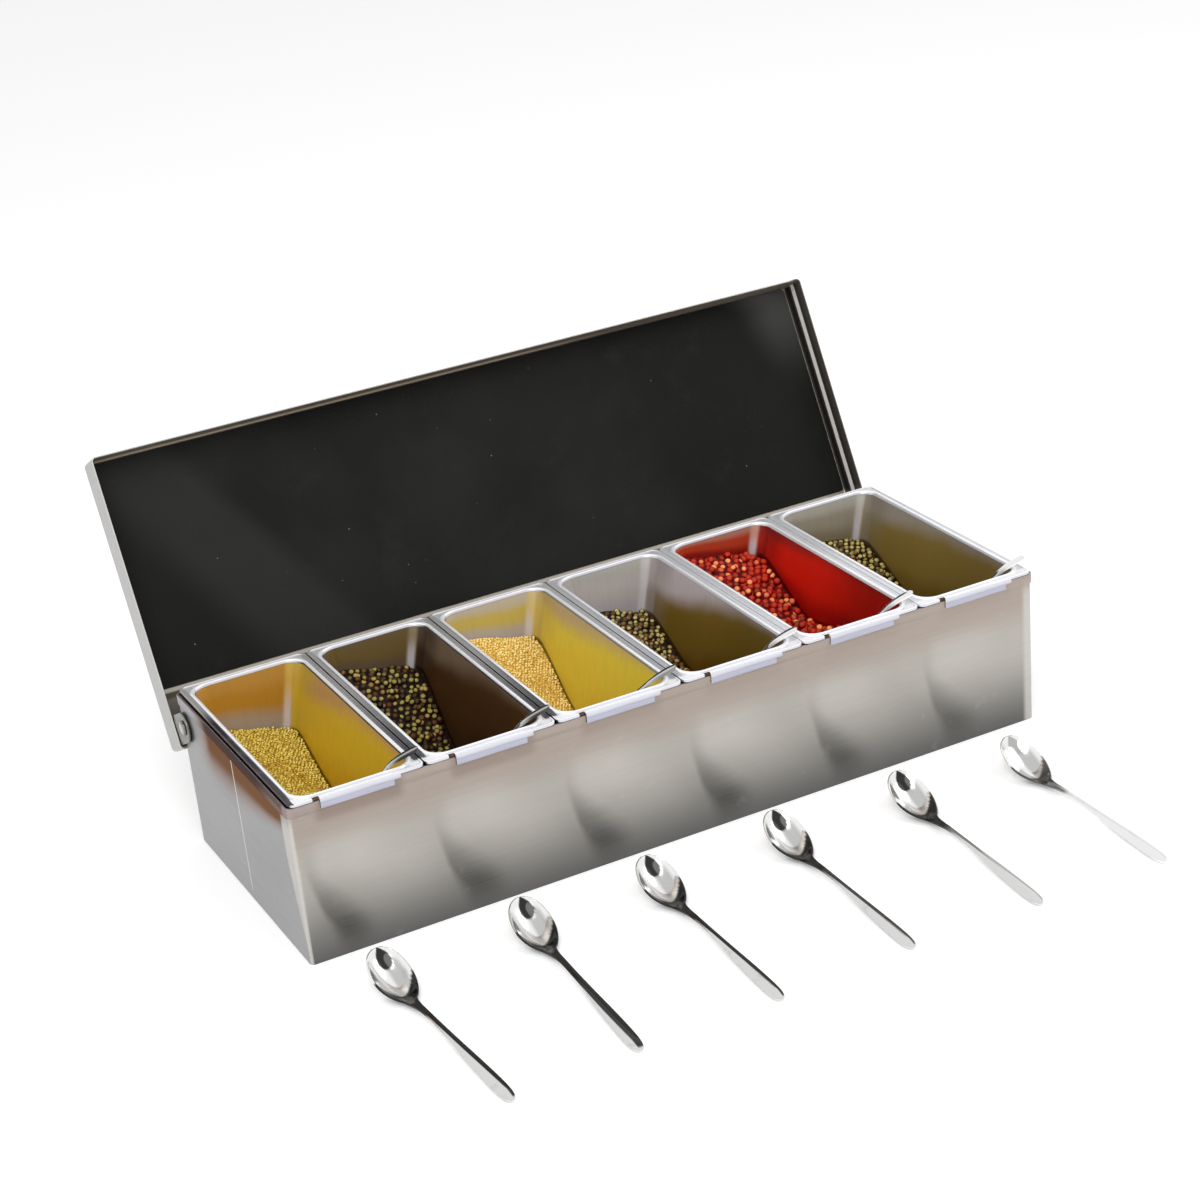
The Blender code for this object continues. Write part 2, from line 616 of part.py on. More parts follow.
pivot = bpy.data.objects.new("lid_pivot", None)
pivot.location = (0, PIVOT_Y, PIVOT_Z)
pivot.rotation_euler[0] = -LID_OPEN
bpy.context.scene.collection.objects.link(pivot)
place("lid_tray", lid_mesh(), STEEL_LID, parent=pivot)
place("lid_inner_panel", liner_mesh(), LINER, parent=pivot)
for side, word in ((-1, "left"), (1, "right")):
    place(f"hinge_ear_{word}", ear_mesh(side), STEEL_HINGE, parent=pivot)
    place(f"hinge_rivet_{word}", rivet_mesh(side), STEEL_HINGE, (0, PIVOT_Y, PIVOT_Z))

PAN = pan_mesh()
TABLE_SPOON = table_spoon_mesh()
for index in range(PAN_COUNT):
    centre = (index - (PAN_COUNT - 1) / 2) * PAN_PITCH
    number = index + 1
    pick = index % len(SPICE_DEPTHS)
    depth = SPICE_DEPTHS[pick]
    place(f"pan_{number}", PAN, STEEL_PAN, (centre, 0, 0))
    place(f"spice_{number}", spice_mesh(f"spice_{number}", pick, 1.7 * index), SPICE_LOOKS[pick], (centre, 0, 0))
    place(f"pan_spoon_{number}", pan_spoon_mesh(f"pan_spoon_{number}", depth), STEEL_SPOON, (centre, 0, 0))
    spot = (centre + SPOON_SHIFTS[pick], -HALF_DEPTH - SPOON_GAPS[pick], 0)
    place(f"table_spoon_{number}", TABLE_SPOON, STEEL_SPOON, spot, math.radians(SPOON_TURNS[pick]))
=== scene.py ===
"""Looks of a steel spice box: a case with six lift-out pans, a hinged lid and two sets of spoons."""
import json
import math
import random

import bmesh
import bpy
from mathutils import Matrix, Vector


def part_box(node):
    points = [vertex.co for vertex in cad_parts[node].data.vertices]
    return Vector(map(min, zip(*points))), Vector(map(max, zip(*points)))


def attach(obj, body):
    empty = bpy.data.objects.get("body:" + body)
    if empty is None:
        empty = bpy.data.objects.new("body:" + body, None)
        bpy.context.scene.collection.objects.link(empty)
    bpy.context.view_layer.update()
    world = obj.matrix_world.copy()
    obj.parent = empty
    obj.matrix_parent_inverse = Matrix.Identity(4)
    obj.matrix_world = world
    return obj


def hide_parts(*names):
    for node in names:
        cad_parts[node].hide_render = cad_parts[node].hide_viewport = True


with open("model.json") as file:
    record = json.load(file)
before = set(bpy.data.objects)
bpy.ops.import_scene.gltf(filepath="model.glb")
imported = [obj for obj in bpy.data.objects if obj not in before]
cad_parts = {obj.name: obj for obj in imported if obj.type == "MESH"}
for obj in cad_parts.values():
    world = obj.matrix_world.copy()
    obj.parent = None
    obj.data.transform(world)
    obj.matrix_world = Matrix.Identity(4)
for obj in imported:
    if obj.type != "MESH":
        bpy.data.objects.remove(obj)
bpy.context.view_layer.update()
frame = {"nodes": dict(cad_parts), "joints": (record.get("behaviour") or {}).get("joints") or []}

bl_info = {
    "name": "Spice Box",
    "version": (1, 0, 0),
    "blender": (4, 5, 0),
    "location": "3D View > Sidebar > Spice Box",
    "description": "Dresses the spice box: sheet steel, pans, spices and spoons",
    "category": "Add Mesh",
}

PAN_COUNT = 6
PAN_PITCH = (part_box("pan_6")[0].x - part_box("pan_1")[0].x) / (PAN_COUNT - 1)
PAN_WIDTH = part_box("pan_1")[1].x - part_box("pan_1")[0].x
PAN_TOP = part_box("pan_1")[1].z
CASE_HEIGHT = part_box("case_front_wrap")[1].z
# How much the end walls of a pan lean in, for each unit of depth.
PAN_END_DRAFT = 0.10
PIVOT = Vector(next(j["pos_m"] for j in frame["joints"] if j["name"] == "lid_hinge"))

# Each fill: where it is lowest, from -1 at the front of the pan to 1 at the rear, how much higher it stands on the
# left, its swell and its lumps, and how close the lumps lie across and along the pan.
FILL_LOWEST = 0.15
FILL_LEAN = 0.0053
FILL_SWELL = 0.0014
FILL_LUMP = 0.0010
LUMPS_ACROSS, LUMPS_ALONG = 180, 140

# The grains, in sizes of a grain: how far they are off their rows, how much higher the loose ones lie, and how deep
# all of them sink in. None lies over a pan spoon's bowl, so far from the spoon's left end and so far behind it.
GRAIN_OFF = 0.16
GRAIN_RAISED = 0.36
GRAIN_SUNK = (-0.30, -0.08)
BOWL_LENGTH, BOWL_BEHIND = 0.032, 0.012
GRAINS_AT_ONCE = 80
FIRST_SEED = 40

# How far below the lid's face the painted highlight along the right skirt begins, is full, fades and ends.
PALE_LINE = (0.0088, 0.0093, 0.0136, 0.0141)

# Where the camera stands: degrees round the box, above it and of roll, and how far from the point that it looks at.
CAMERA_TURN, CAMERA_TILT, CAMERA_ROLL = -25.37, 26.87, -5.65
CAMERA_AIM = Vector((-0.0164, -0.0076, 0.0486))
CAMERA_DISTANCE = 1.589
# Width of the picture and focal length in pixels, and width of the sensor in millimetres.
PICTURE_WIDTH, FOCAL_LENGTH, SENSOR_WIDTH = 1200, 2576, 36.0

# Each pan from the left. depths: of the fill below the top, at the front, in the middle and at the rear. rear, right:
# tones of the spice's painted reflections on these walls from the top down. front: what is left of the right wall's
# tone at the front. corner: the painted highlight and the dull band between both walls. carry: how far the rear
# wall's tone reaches over the right one. size: of a grain. fine: granules, not corns. warm: how brown or red some
# grains are. tones: dark, middle and light of the grains, for darker grains and their shaded sides, their lit sides
# and a painted highlight. stub: how dark the painted reflection on the end of the spoon's handle is.
SPICES = (
    dict(slot="spice_yellow", depths=(0.036, 0.053, 0.038), size=0.0021, fine=True, warm=0.0, stub=0.90,
         rear=((0.48, 0.255, 0.050), (0.45, 0.225, 0.026), (0.38, 0.31, 0.26)),
         right=((0.46, 0.28, 0.11), (0.64, 0.43, 0.024), (0.56, 0.34, 0.012)), front=0.95, carry=0.26,
         corner=((0.56, 0.39, 0.07), (0.50, 0.36, 0.03)),
         tones=((0.32, 0.17, 0.012), (0.62, 0.45, 0.045), (0.88, 0.74, 0.20))),
    dict(slot="spice_black_green", depths=(0.034, 0.054, 0.022), size=0.0048, fine=False, warm=0.6, stub=0.85,
         rear=((0.155, 0.105, 0.040), (0.165, 0.108, 0.032), (0.130, 0.090, 0.050)),
         right=((0.160, 0.110, 0.070), (0.060, 0.024, 0.006), (0.045, 0.018, 0.004)), front=1.0, carry=0.40,
         corner=((0.25, 0.20, 0.12), (0.030, 0.016, 0.010)),
         tones=((0.004, 0.0015, 0.0015), (0.040, 0.016, 0.009), (0.40, 0.35, 0.080))),
    dict(slot="spice_gold", depths=(0.029, 0.055, 0.026), size=0.0021, fine=True, warm=0.0, stub=0.65,
         rear=((0.50, 0.45, 0.37), (0.54, 0.43, 0.120), (0.44, 0.41, 0.42)),
         right=((0.50, 0.37, 0.20), (0.70, 0.555, 0.056), (0.66, 0.50, 0.045)), front=0.95, carry=0.24,
         corner=((0.60, 0.46, 0.18), (0.46, 0.33, 0.10)),
         tones=((0.50, 0.28, 0.045), (0.90, 0.60, 0.13), (1.0, 0.86, 0.38))),
    dict(slot="spice_black_olive", depths=(0.035, 0.052, 0.032), size=0.0044, fine=False, warm=0.5, stub=0.12,
         rear=((0.46, 0.445, 0.40), (0.52, 0.485, 0.465), (0.50, 0.47, 0.47)),
         right=((0.50, 0.435, 0.44), (0.185, 0.110, 0.012), (0.125, 0.055, 0.004)), front=0.7, carry=0.42,
         corner=((0.56, 0.53, 0.52), (0.29, 0.26, 0.25)),
         tones=((0.006, 0.003, 0.002), (0.085, 0.045, 0.018), (0.56, 0.48, 0.17))),
    dict(slot="spice_red", depths=(0.031, 0.038, 0.016), size=0.0056, fine=False, warm=0.0, stub=0.10,
         rear=((0.40, 0.19, 0.13), (0.42, 0.045, 0.014), (0.24, 0.008, 0.003)),
         right=((0.30, 0.013, 0.008), (0.66, 0.013, 0.004), (0.38, 0.003, 0.001)), front=0.45, carry=0.20,
         corner=((0.52, 0.28, 0.22), (0.17, 0.006, 0.004)),
         tones=((0.065, 0.001, 0.001), (0.44, 0.006, 0.003), (0.92, 0.42, 0.15))),
    dict(slot="spice_olive", depths=(0.034, 0.048, 0.0275), size=0.0046, fine=False, warm=0.5, stub=0.10,
         rear=((0.42, 0.395, 0.345), (0.32, 0.285, 0.225), (0.25, 0.205, 0.13)),
         right=((0.32, 0.275, 0.225), (0.24, 0.160, 0.036), (0.165, 0.098, 0.014)), front=0.75, carry=0.34,
         corner=((0.50, 0.47, 0.41), (0.22, 0.19, 0.14)),
         tones=((0.006, 0.003, 0.002), (0.080, 0.044, 0.018), (0.54, 0.48, 0.15))),
)

# Each table spoon: how far it lies right of its pan's middle and in front of the case, its turn in degrees, how dark
# the painted reflections on the tip, the throat and the handle are, and how far the handle's painted dark flank
# reaches over to the left.
TABLE_SPOONS = (
    (-0.0141, 0.0324, 3.0, (1.0, 1.0, 1.0, 0.0)),
    (-0.0073, 0.0312, -2.3, (1.0, 1.0, 0.95, 0.55)),
    (-0.0092, 0.0331, -0.6, (1.0, 1.0, 1.0, -0.1)),
    (-0.0049, 0.0315, -1.2, (1.0, 1.0, 0.85, -0.1)),
    (-0.0022, 0.0354, -2.1, (1.0, 1.0, 0.50, -0.2)),
    (-0.0055, 0.0395, -0.5, (0.40, 0.80, 0.16, 0.0)),
)

# Share of the length, half width against the bowl's, height of the edge, share of the dip.
TABLE_SPOON_FORM = (
    (0.000, 0.140, 1.000, 0.02), (0.005, 0.360, 0.972, 0.14), (0.019, 0.610, 0.906, 0.42),
    (0.043, 0.820, 0.800, 0.70), (0.078, 0.960, 0.656, 0.91), (0.116, 1.000, 0.517, 1.00),
    (0.157, 0.930, 0.389, 0.93), (0.197, 0.750, 0.294, 0.68), (0.228, 0.530, 0.244, 0.38),
    (0.253, 0.340, 0.222, 0.15), (0.300, 0.225, 0.244, 0.04), (0.370, 0.180, 0.283, 0.00),
    (0.463, 0.180, 0.278, 0.00), (0.557, 0.210, 0.256, 0.00), (0.662, 0.270, 0.219, 0.00),
    (0.767, 0.335, 0.178, 0.00), (0.861, 0.375, 0.139, 0.00), (0.931, 0.375, 0.108, 0.00),
    (0.972, 0.310, 0.089, 0.00), (0.992, 0.180, 0.078, 0.00), (1.000, 0.060, 0.069, 0.00),
)
BOWL_END = 0.253


def length(description, default):
    return bpy.props.FloatProperty(description=description, default=default, precision=5, subtype="DISTANCE")


def colour(description, default):
    return bpy.props.FloatVectorProperty(
        description=description, default=default, size=3, min=0.0, max=1.0, subtype="COLOR")


class SpiceBoxSizes(bpy.types.PropertyGroup):
    case_half_length: length("From the middle to an end wall", 0.250)
    case_half_depth: length("From the middle to the front wall", 0.090)
    case_sheet: length("Thickness of the case walls", 0.0008)
    case_corner: length("Outer radius of the upright corners", 0.003)
    hem_height: length("How far the folded top edge comes down", 0.0065)
    seam_gap: length("Gap where the two wraps meet on the end walls", 0.0003)
    pan_rim: length("Width of the rim around the opening", 0.0056)
    pan_rim_corner: length("Outer corner radius of the rim", 0.004)
    pan_rim_thickness: length("Height of the rolled edge", 0.0016)
    pan_bead: length("Height of the bead around the opening", 0.0011)
    pan_bead_width: length("Width of the bead around the opening", 0.0024)
    pan_corner: length("Corner radius of the opening", 0.011)
    pan_half_y: length("Half the opening from front to rear", 0.0854)
    pan_mid_y: length("Middle of the opening", -0.0005)
    pan_sheet: length("Thickness of the pan walls", 0.0006)
    pan_floor_z: length("Height of the pan floor", 0.019)
    pan_floor_width: length("Width of the flat floor", 0.027)
    pan_floor_radius: length("Radius between wall and floor", 0.008)
    tab_width: length("Width of the grip tab", 0.049)
    tab_drop: length("How far the tab hangs down", 0.0069)
    tab_offset: length("Tab middle against the pan's middle", 0.0014)
    tab_step: length("How much shorter the lower half of the tab is", 0.0042)
    lid_half_x: length("From the middle to the end skirt", 0.2532)
    lid_front: length("From the pivot to the front skirt", 0.1735)
    lid_rear: length("From the pivot to the rear skirt", 0.0124)
    lid_edge: length("Height of the skirt's edge over the pivot", 0.018)
    lid_top: length("Height of the lid's face over the pivot", 0.042)
    lid_sheet: length("Thickness of the lid", 0.0008)
    lid_fold: length("Radius of the fold around the lid's face", 0.002)
    lid_corner: length("Corner radius of the lid", 0.003)
    lid_open: bpy.props.FloatProperty(
        description="How far the lid is turned back", default=math.radians(117.323), subtype="ANGLE")
    ear_inner_x: length("From the middle to the ear's inner face", 0.2511)
    ear_sheet: length("Thickness of the hinge ear", 0.001)
    ear_half_width: length("Half the width of the hinge ear", 0.0095)
    ear_height: length("From the pivot to the end of the ear", 0.034)
    rivet_radius: length("Radius of the shank", 0.0025)
    rivet_head_radius: length("Radius of the domed head", 0.0048)
    rivet_head_rise: length("Height of the domed head", 0.0018)
    spoon_length: length("From tip to tail of a table spoon", 0.1525)
    spoon_bowl_width: length("Widest part of the bowl", 0.0226)
    spoon_bowl_depth: length("Depth of the bowl", 0.0060)
    spoon_arch: length("Height of the bowl's tip", 0.0180)
    spoon_sheet: length("Thickness of the table spoons", 0.0012)
    spoon_crown: length("Height of the ridge along the handle", 0.0011)


class SpiceBoxColours(bpy.types.PropertyGroup):
    case_middle: colour("Brushed steel half way up the front", (0.425, 0.405, 0.37))
    case_top: colour("Warm steel under the rim", (0.372, 0.312, 0.272))
    case_foot_shade: colour("Dark steel at the foot", (0.110, 0.109, 0.106))
    # Painted shade: the front of the case darkens to this tone at its foot.
    case_end: colour("Satin steel of the end walls", (0.285, 0.285, 0.292))
    # Painted reflection: the brown tone under the rim of the end walls.
    case_end_reflection: colour("Brown tone under the rim of the end walls", (0.185, 0.082, 0.034))
    lid_steel: colour("Satin steel of the lid", (0.50, 0.495, 0.485))
    liner: colour("Dark sheet inside the lid", (0.0125, 0.0125, 0.0115))
    rim: colour("Polished steel of the rims", (0.93, 0.93, 0.95))
    tab: colour("Bluish steel of the tabs", (0.43, 0.435, 0.53))
    wall: colour("Steel of the pan walls", (0.36, 0.345, 0.335))
    spoon: colour("Polished steel of the spoons", (0.86, 0.86, 0.855))
    # Painted dark reflections in the polish of the spoons.
    spoon_shade: colour("Dark parts of the polish", (0.035, 0.035, 0.033))
    floor: colour("Pale floor under the box", (0.93, 0.93, 0.93))


# Materials.


class Value:
    """A number that nodes work out. Its sums, products and ramps are nodes too."""

    def __init__(self, nodes, socket):
        self.nodes, self.socket = nodes, socket

    def math(self, operation, other=0.0, clamp=False):
        return self.nodes.math(operation, self, other, clamp)

    def __add__(self, other):
        return self.math("ADD", other)

    def __sub__(self, other):
        return self.math("SUBTRACT", other)

    def __rsub__(self, other):
        return self.nodes.math("SUBTRACT", other, self)

    def __mul__(self, other):
        return self.math("MULTIPLY", other)

    def __truediv__(self, other):
        return self.math("DIVIDE", other)

    def __abs__(self):
        return self.math("ABSOLUTE")

    def ramp(self, low, high, start=0.0, end=1.0):
        """Goes smoothly from start to end as the value goes from low to high."""
        node = self.nodes.add("MapRange", self, low, high, start, end, interpolation_type="SMOOTHSTEP")
        return Value(self.nodes, node.outputs[0])

    def band(self, low, full, fading, end):
        """Rises to 1 from low to full and falls to 0 again from fading to end."""
        return self.ramp(low, full) * self.ramp(end, fading)


class Nodes:
    """A node tree in the making."""

    def __init__(self, tree):
        self.tree = tree

    def add(self, kind, *inputs, **settings):
        """Adds a node and fills its inputs in order; None leaves an input as it is."""
        node = self.tree.nodes.new(f"ShaderNode{kind}")
        for name, value in settings.items():
            setattr(node, name, value)
        for socket, value in zip(node.inputs, inputs):
            if value is not None:
                self.feed(socket, value)
        return node

    def feed(self, socket, value):
        if isinstance(value, Value):
            value = value.socket
        if isinstance(value, bpy.types.NodeSocket):
            self.tree.links.new(value, socket)
        elif hasattr(value, "__len__") and len(socket.default_value) == 4:
            socket.default_value = (*tuple(value)[:3], 1.0)
        else:
            socket.default_value = value

    def math(self, operation, a, b=0.0, clamp=False):
        return Value(self, self.add("Math", a, b, operation=operation, use_clamp=clamp).outputs[0])

    def seen(self, *rays):
        """1 for the camera and for each of the other kinds of ray."""
        path = self.add("LightPath").outputs
        value = Value(self, path["Is Camera Ray"])
        for ray in rays:
            value = value.math("MAXIMUM", path[f"Is {ray} Ray"])
        return value


class Finish(Nodes):
    """A material in the making: colours are laid one by one over its tone."""

    def __init__(self, name, tone, metallic, roughness, specular=0.5):
        self.material = bpy.data.materials.new(name)
        self.material.use_nodes = True
        super().__init__(self.material.node_tree)
        self.tone = tone
        self.shader = self.tree.nodes["Principled BSDF"].inputs
        for socket, value in (("Metallic", metallic), ("Roughness", roughness), ("Specular IOR Level", specular)):
            self.shader[socket].default_value = value
        places = self.add("TexCoord").outputs
        self.where = places["Object"]
        self.x, self.y, self.z = self.axes(self.where)
        self.sideways, self.ahead, self.upward = self.axes(places["Normal"])

    def axes(self, vector):
        return [Value(self, socket) for socket in self.add("SeparateXYZ", vector).outputs]

    def mix(self, amount, a, b, blend="MIX"):
        node = self.add("Mix", amount, data_type="RGBA", blend_type=blend)
        self.feed(node.inputs[6], a)
        self.feed(node.inputs[7], b)
        return node.outputs[2]

    def lay(self, amount, tone):
        self.tone = self.mix(amount, self.tone, tone)

    def noise(self, scale, detail=3.0, rough=0.55, stretch=None, turn=(0, 0, 0)):
        where = self.add("Mapping", self.where, None, turn, stretch).outputs[0] if stretch else self.where
        return Value(self, self.add("TexNoise", where, None, scale, detail, rough).outputs[0])

    def cells(self, scale):
        return Value(self, self.add("TexVoronoi", self.where, None, scale).outputs["Distance"])

    def marked(self, name):
        return Value(self, self.add("Attribute", attribute_name=name).outputs["Fac"])

    def dull(self, amount, specular=0.0):
        """Takes the shine of metal away."""
        for name, end in (("Metallic", 0.04), ("Specular IOR Level", specular)):
            self.feed(self.shader[name], amount.ramp(0.0, 1.0, self.shader[name].default_value, end))

    def done(self, texture=None, roughness=(), bump=0.0, height=0.0002):
        """Puts the tone in place, and a texture that changes the roughness and raises the surface."""
        self.feed(self.shader["Base Color"], self.tone)
        if texture:
            self.feed(self.shader["Roughness"], texture.ramp(0.0, 1.0, *roughness))
            node = self.add("Bump")
            for name, value in (("Strength", bump), ("Distance", height), ("Height", texture)):
                self.feed(node.inputs[name], value)
            self.feed(self.shader["Normal"], node.outputs[0])
        return self.material


def scaled(tone, factor):
    return [part * factor for part in tone]


# Shapes.


def quarter(steps):
    """Sine and cosine at even steps over a quarter turn."""
    angles = [math.radians(90 * step / steps) for step in range(steps + 1)]
    return [(math.sin(angle), math.cos(angle)) for angle in angles]


def face_out(work):
    bmesh.ops.recalc_face_normals(work, faces=work.faces)


def round_off(work, geom, offset, segments, affect="EDGES"):
    bmesh.ops.bevel(work, geom=geom, offset=offset, offset_type="OFFSET", segments=segments, profile=0.5,
                    affect=affect, clamp_overlap=affect == "EDGES", material=-1)


def cut(work, place, toward, clear=False):
    everything = list(work.verts) + list(work.edges) + list(work.faces)
    return bmesh.ops.bisect_plane(work, geom=everything, dist=1e-7, plane_co=place, plane_no=toward,
                                  clear_outer=clear)["geom_cut"]


def plate(work, half_x, half_y, middle):
    """Lays down a flat rectangle and returns its corners."""
    corners = bmesh.ops.create_grid(work, x_segments=1, y_segments=1, size=1.0)["verts"]
    bmesh.ops.scale(work, vec=(half_x, half_y, 1.0), verts=corners)
    bmesh.ops.translate(work, vec=middle, verts=corners)
    return corners


def outline(work, half_x, half_y, radius, z, mid_x=0.0, mid_y=0.0, steps=6):
    """Lays down a rectangle with rounded corners and returns its edges."""
    known = set(work.faces)
    corners = plate(work, half_x, half_y, (mid_x, mid_y, z))
    round_off(work, corners, max(radius, 0.0001), steps, "VERTICES")
    face = [f for f in work.faces if f not in known]
    edges = list({e for f in face for e in f.edges})
    bmesh.ops.delete(work, geom=face, context="FACES_ONLY")
    return edges


def skin(work, loops, closed=False):
    """Bridges each loop to the next one; an open shell gets its two ends closed."""
    pairs = list(zip(loops, loops[1:]))
    if closed:
        pairs.append((loops[-1], loops[0]))
    else:
        bmesh.ops.contextual_create(work, geom=loops[0])
        bmesh.ops.contextual_create(work, geom=loops[-1])
    for near, far in pairs:
        # Two loops in one plane are drawn apart while they are joined, so that the faces don't cross over.
        ends = list({v for e in far for v in e.verts})
        apart = 0.02 if ends[0].co.z >= near[0].verts[0].co.z else -0.02
        bmesh.ops.translate(work, vec=(0, 0, apart), verts=ends)
        bmesh.ops.bridge_loops(work, edges=near + far)
        bmesh.ops.translate(work, vec=(0, 0, -apart), verts=ends)
    face_out(work)


def block(work, low, high, soft):
    """A block with its edges rounded over."""
    made = bmesh.ops.create_cube(work, size=1.0)["verts"]
    bmesh.ops.scale(work, vec=Vector(high) - Vector(low), verts=made)
    bmesh.ops.translate(work, vec=(Vector(high) + Vector(low)) / 2, verts=made)
    round_off(work, list({e for v in made for e in v.link_edges}), soft, 3)


def piece_from(work, name, looks, body, node=None, sharp=30):
    """Makes a piece that rides on a body. It takes the place of a CAD node where one is given."""
    mesh = bpy.data.meshes.new(name)
    work.to_mesh(mesh)
    work.free()
    for look in looks:
        mesh.materials.append(look)
    mesh.shade_smooth()
    mesh.set_sharp_from_angle(angle=math.radians(sharp))
    piece = bpy.data.objects.new(name, mesh)
    bpy.context.scene.collection.objects.link(piece)
    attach(piece, body)
    if node:
        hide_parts(node)
    return piece


def dress(node, look):
    """Gives a CAD node its finish."""
    materials = frame["nodes"][node].data.materials
    materials.clear()
    materials.append(look)


def between(table, place):
    """Smooth values between the rows of a table, at a place counted in rows."""
    index = min(int(place), len(table) - 2)
    t = place - index
    rows = [table[min(max(index + step, 0), len(table) - 1)] for step in (-1, 0, 1, 2)]
    return [0.5 * (2 * b + (c - a) * t + (2 * a - 5 * b + 4 * c - d) * t * t + (3 * b - a - 3 * c + d) * t ** 3)
            for a, b, c, d in zip(*rows)]


def step_up(value, low, high):
    share = min(max((value - low) / (high - low), 0.0), 1.0)
    return share * share * (3 - 2 * share)


class Maker:
    """What all operators share: each makes its pieces from the sizes and colours in the panel."""

    def execute(self, context):
        self.make(context.scene.spice_box_sizes, context.scene.spice_box_colours)
        return {"FINISHED"}


# Case.


def case_spoon_reflections(made, grain, cloud, front):
    """Painted spoon reflections: under each pan a soft dark band leans down to the right from a sharp left edge, with
    painted light beside it.
    """
    x, z = made.x, made.z
    lean = (0.060 - z).math("MAXIMUM") * 0.22
    across = x + x.ramp(-0.205, -0.235, 0.2495, 0.2465) - lean - (cloud - 0.5) * 0.003
    across = (across / PAN_PITCH).math("FRACT") * PAN_PITCH
    painted_light_field = across.band(0.004, 0.014, 0.030, 0.066) * z.band(0.042, 0.060, 0.066, 0.084)
    made.lay(painted_light_field * 0.24 * front, (0.60, 0.585, 0.55))
    edge = across.ramp(-0.0005, z.ramp(0.034, 0.012, 0.0040, 0.0105))
    reach = z.ramp(0.064, 0.010, 0.009, 0.037)
    fade = ((across + (grain - 0.5) * 0.012) / reach).ramp(1.12, 0.16)
    depth = z.ramp(0.074, 0.024) * z.ramp(-0.004, 0.024, 0.18, 1.0) * 0.56
    aside, high = (across - 0.0170) / 0.0135, (z - 0.0140) / 0.0120
    reflection_blob = (aside * aside + high * high).math("SQRT").ramp(1.35, 0.1, 0.0, 0.26)
    shade = (edge * fade * depth).math("ADD", reflection_blob, clamp=True)
    made.lay(shade * front * x.ramp(0.04, 0.20, 1.0, 0.82), (0.035, 0.035, 0.033))


def case_finish(name, colours, painted_reflections):
    """Brushed steel, warm at the top, with painted shade that darkens it towards the foot and soft curved painted
    reflections along the front.
    """
    made = Finish(name, colours.case_foot_shade, metallic=0.75, roughness=0.36)
    x, y, z = made.x, made.y, made.z
    grain = made.noise(1.0, 4.0, 0.6, (14.0, 14.0, 900.0))
    cloud = made.noise(16.0, stretch=(1.0, 1.0, 1.6))
    front, end = made.ahead.ramp(-0.45, -0.9), abs(made.sideways).ramp(0.5, 0.9)
    # Painted shade: from the dark foot the steel lightens upwards to its middle tone.
    made.lay(z.ramp(-0.0035, 0.0560), colours.case_middle)
    made.lay((z + cloud * 0.012).ramp(0.066, 0.094), colours.case_top)
    if painted_reflections:
        case_spoon_reflections(made, grain, cloud, front)
    # Painted shadow under each pan's tab, stronger towards the left.
    away = abs((x / PAN_PITCH).math("FRACT") - 0.5)
    tab_shadow = away.ramp(0.36, 0.27) * z.ramp(0.0845, 0.0910) * x.ramp(0.06, -0.20, 0.12, 0.65)
    made.lay(tab_shadow * front, (0.235, 0.175, 0.148))
    # The end walls have a painted brown reflection below the hem and a painted highlight strip that widens upwards
    # along the front corner.
    ends = made.mix(cloud.ramp(0.3, 0.75), colours.case_end, scaled(colours.case_end, 1.08))
    left = x.ramp(0.20, -0.20, 0.15, 1.0)
    brown_reflection = z.ramp(y.ramp(-0.100, 0.030, 0.080, 0.054), y.ramp(-0.100, -0.050, 0.0925, 0.086))
    brown_reflection = brown_reflection * y.band(-0.0850, -0.0765, 0.036, 0.068) * end * left
    ends = made.mix(brown_reflection * 0.96, ends, colours.case_end_reflection)
    strip = (y - (z.ramp(0.0, 0.075) * 0.0115 - 0.0885)).ramp(0.0008, -0.0016)
    ends = made.mix(strip * z.ramp(0.093, 0.084, 0.35, 1.0) * left, ends, (0.50, 0.475, 0.45))
    # Painted highlight along the seam of the end walls, where the edges of both wraps catch the light.
    seam_highlight = abs(y).ramp(0.0010, 0.0004) * z.ramp(0.002, 0.01)
    made.lay(end, made.mix(seam_highlight, ends, (0.78, 0.76, 0.73)))
    # Painted highlights down the rounded upright corners and along the right edge of the front.
    corner = abs(made.sideways).ramp(0.25, 0.55) * abs(made.ahead).ramp(0.25, 0.55) * 0.75
    right_edge_highlight = x.ramp(0.2412, 0.2450) * front * 0.75
    made.lay(corner.math("MAXIMUM", right_edge_highlight) * z.ramp(0.100, 0.085), (0.56, 0.54, 0.51))
    # Painted shadow under the rim on the hem of the left end: dark all along the middle, browner and lighter towards
    # the front.
    hem = z.ramp(CASE_HEIGHT - 0.0072, CASE_HEIGHT - 0.0062)
    left_hem_shadow = hem * x.ramp(-0.2495, -0.2503) * y.ramp(0.060, 0.034)
    forward = y.ramp(-0.040, -0.072)
    low = made.mix(forward, (0.090, 0.046, 0.037), (0.21, 0.15, 0.125))
    high = made.mix(forward, (0.068, 0.046, 0.048), (0.13, 0.098, 0.094))
    made.lay(left_hem_shadow, made.mix(z.ramp(CASE_HEIGHT - 0.0036, CASE_HEIGHT - 0.0022), low, high))
    front_corner = hem * x.ramp(-0.232, -0.240) * y.ramp(-0.0820, -0.0860)
    made.lay(front_corner * 0.8, (0.34, 0.275, 0.26))
    # The painted reflection and the painted shadow on the hem are dull, so that their tones show as painted.
    made.dull(brown_reflection.math("MAXIMUM", left_hem_shadow))
    made.lay(grain.ramp(0.35, 0.7, 0.0, 0.07), scaled(colours.case_middle, 0.45))
    smudge = made.noise(55.0, 5.0, 0.65, (1.0, 1.0, 1.0))
    made.lay(smudge.ramp(0.58, 0.75, 0.0, 0.07), (0.75, 0.74, 0.72))
    return made.done(grain, (0.33, 0.42), bump=0.07)


